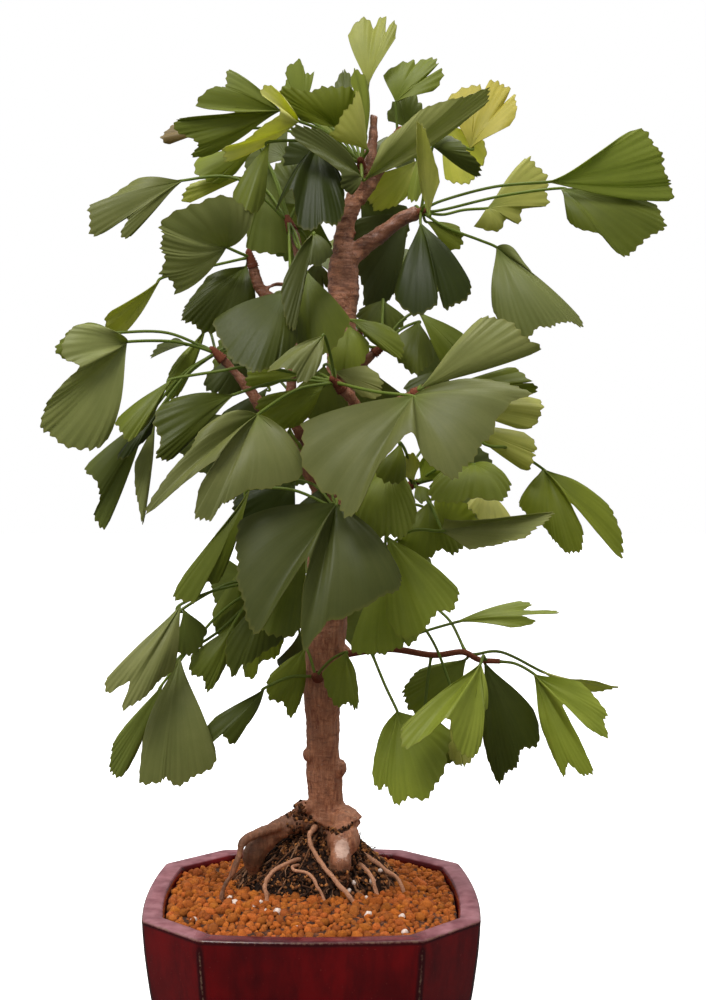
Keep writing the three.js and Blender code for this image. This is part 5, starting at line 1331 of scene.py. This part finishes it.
def add_leaf(skin, row, tone, seed, start):
    front, back, across, out, upper_in_front = blade_faces(row, seed)
    # The tone carries painted shade on some leaves and painted light on others.
    colour = linear(LEAF_COLOURS[tone]) * rng.uniform(0.86, 1.14)
    near_base = np.clip(1 - out.ravel() / 0.3, 0, 1)[:, None] * 0.45
    tint = colour * (1 - near_base) + linear(PETIOLE_COLOUR) * near_base
    for points, under in ((front, not upper_in_front), (back, upper_in_front)):
        marks = np.column_stack([across.ravel(), out.ravel(), np.full(out.size, float(under))])
        skin.grid(points, False, False, colour=tint, marks=marks)
    rims = [np.concatenate([face[:, 0], face[-1, 1:], face[-2::-1, -1]]) for face in (front, back)]
    skin.grid(np.array(rims), False, False, colour=colour, marks=(0, 1, 0.5))
    base = place(row[0])
    stops = [*([] if start is None else [start]), *[place(point) for point in row[5:]], base]
    if len(stops) == 2:
        middle = (stops[0] + stops[1]) / 2
        middle[2] += PETIOLE_ARCH * np.linalg.norm(stops[1] - stops[0])
        stops.insert(1, middle)
    stops.append(base + 0.12 * (edge_stops(row).mean(axis=0) - base))
    path = curve(stops, 7)
    radii = PETIOLE_RADIUS * np.interp(np.linspace(0, 1, len(path)), [0, 0.08, 0.8, 1], [1.5, 1, 1, 0.3])
    skin.tube(path, radii, 8, colour=linear(PETIOLE_COLOUR) * rng.uniform(0.75, 1.1))


def add_spur(skin, rows):
    """The short ringed peg and bud at a branch's end, from which the leaves rise."""
    end = place(rows[-1])
    along = unit(end - place(rows[-2]))
    path = []
    radii = []
    for i in range(SPUR_RINGS):
        path.append(end + along * (SPUR_RING_STEP * i - SPUR_SINK))
        radii.append((SPUR_RADIUS - SPUR_TAPER * i) * (1 + SPUR_RING_DEPTH * (-1) ** i))
    path.append(end + along * SPUR_LENGTH)
    radii.append(SPUR_TIP_RADIUS)
    skin.tube(path, radii, 12, colour=linear(SHOOT_COLOUR), material=1)
    return end + along * HUB_REACH


def build_spray(number, name, leaves):
    """One branch's leaves on their spur, or those of the long young shoot."""
    skin = Skin()
    start = None
    if name in BRANCHES:
        start = add_spur(skin, BRANCHES[name])
    else:
        skin.tube(*limb(SHOOT, 8), 12, colour=linear(SHOOT_COLOUR), material=1)
    for i, (row, tone) in enumerate(zip(leaves, TONES[name].split(), strict=True)):
        add_leaf(skin, row, tone, number * SPRAY_SEED_STEP + i * LEAF_SEED_STEP, start)
    skin.piece(f"spray_{name}", [LEAF, FIBRE], [f"leaves_{name}"])


# ---- assembly -----------------------------------------------------------------------------------
build_pot()
wood = build_wood()
build_granules()
build_pumice()
build_mound(wood)
build_fine_roots()
for number, (name, leaves) in enumerate(SPRAYS.items()):
    build_spray(number, name, leaves)

for node, material in (
    ("akadama_soil", BED), ("drainage_screen_left", SCREEN), ("drainage_screen_right", SCREEN)
):
    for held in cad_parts[node].material_slots:
        held.material = material

# ---- studio -------------------------------------------------------------------------------------
FLOOR_HALF = 12
BACKDROP_RISE = (0, 0.55, 0.6)
BACKDROP_DIM = 0.45
BACKDROP_BRIGHT = 1.15
BACKDROP_IN_GLAZE = 0.25  # how much of it mirrors show

floor_mesh = bpy.data.meshes.new("floor")
corners = [(-1, -1), (1, -1), (1, 1), (-1, 1)]
floor_mesh.from_pydata([(x * FLOOR_HALF, y * FLOOR_HALF, 0) for x, y in corners], [], [(0, 1, 2, 3)])
floor_mesh.materials.append(paper_material())
floor = add_object("floor", floor_mesh)


def light_backdrop():
    """White to the camera; as light it is brightest behind and above, and dim in front."""
    world = bpy.data.worlds.new("studio")
    t = Tree(world)
    direction = t.node("TexCoord", {}, "Generated")
    rise = t.node("VectorMath", {0: direction, 1: BACKDROP_RISE}, "Value", operation="DOT_PRODUCT")
    level = t.ramp(rise, -1, 1, BACKDROP_DIM, BACKDROP_BRIGHT)
    mirrored = t.ramp(t.node("LightPath", {}, "Is Glossy Ray"), 0, 1, 1, BACKDROP_IN_GLAZE)
    to_camera = t.node("LightPath", {}, "Is Camera Ray")
    light = t.node("Mix", {0: to_camera, 2: t.times(level, mirrored), 3: 1.0})
    background = t.nodes["Background"]
    t.put(background.inputs["Color"], (1, 1, 1, 1))
    t.put(background.inputs["Strength"], light)
    bpy.context.scene.world = world


def softbox(name, at, aim, size, power):
    light = add_object(name, bpy.data.lights.new(name, "AREA"))
    light.location = at
    light.rotation_euler = (Vector(aim) - Vector(at)).to_track_quat("-Z", "Y").to_euler()
    light.data.size = size
    light.data.energy = power


light_backdrop()
bpy.context.scene.view_settings.view_transform = "Standard"
softbox("key", (-0.7, -1.3, 2.1), (0, 0, 0.3), 0.9, 42)
softbox("top", (0.3, 0.3, 2.2), (0, 0, 0.4), 1.2, 26)
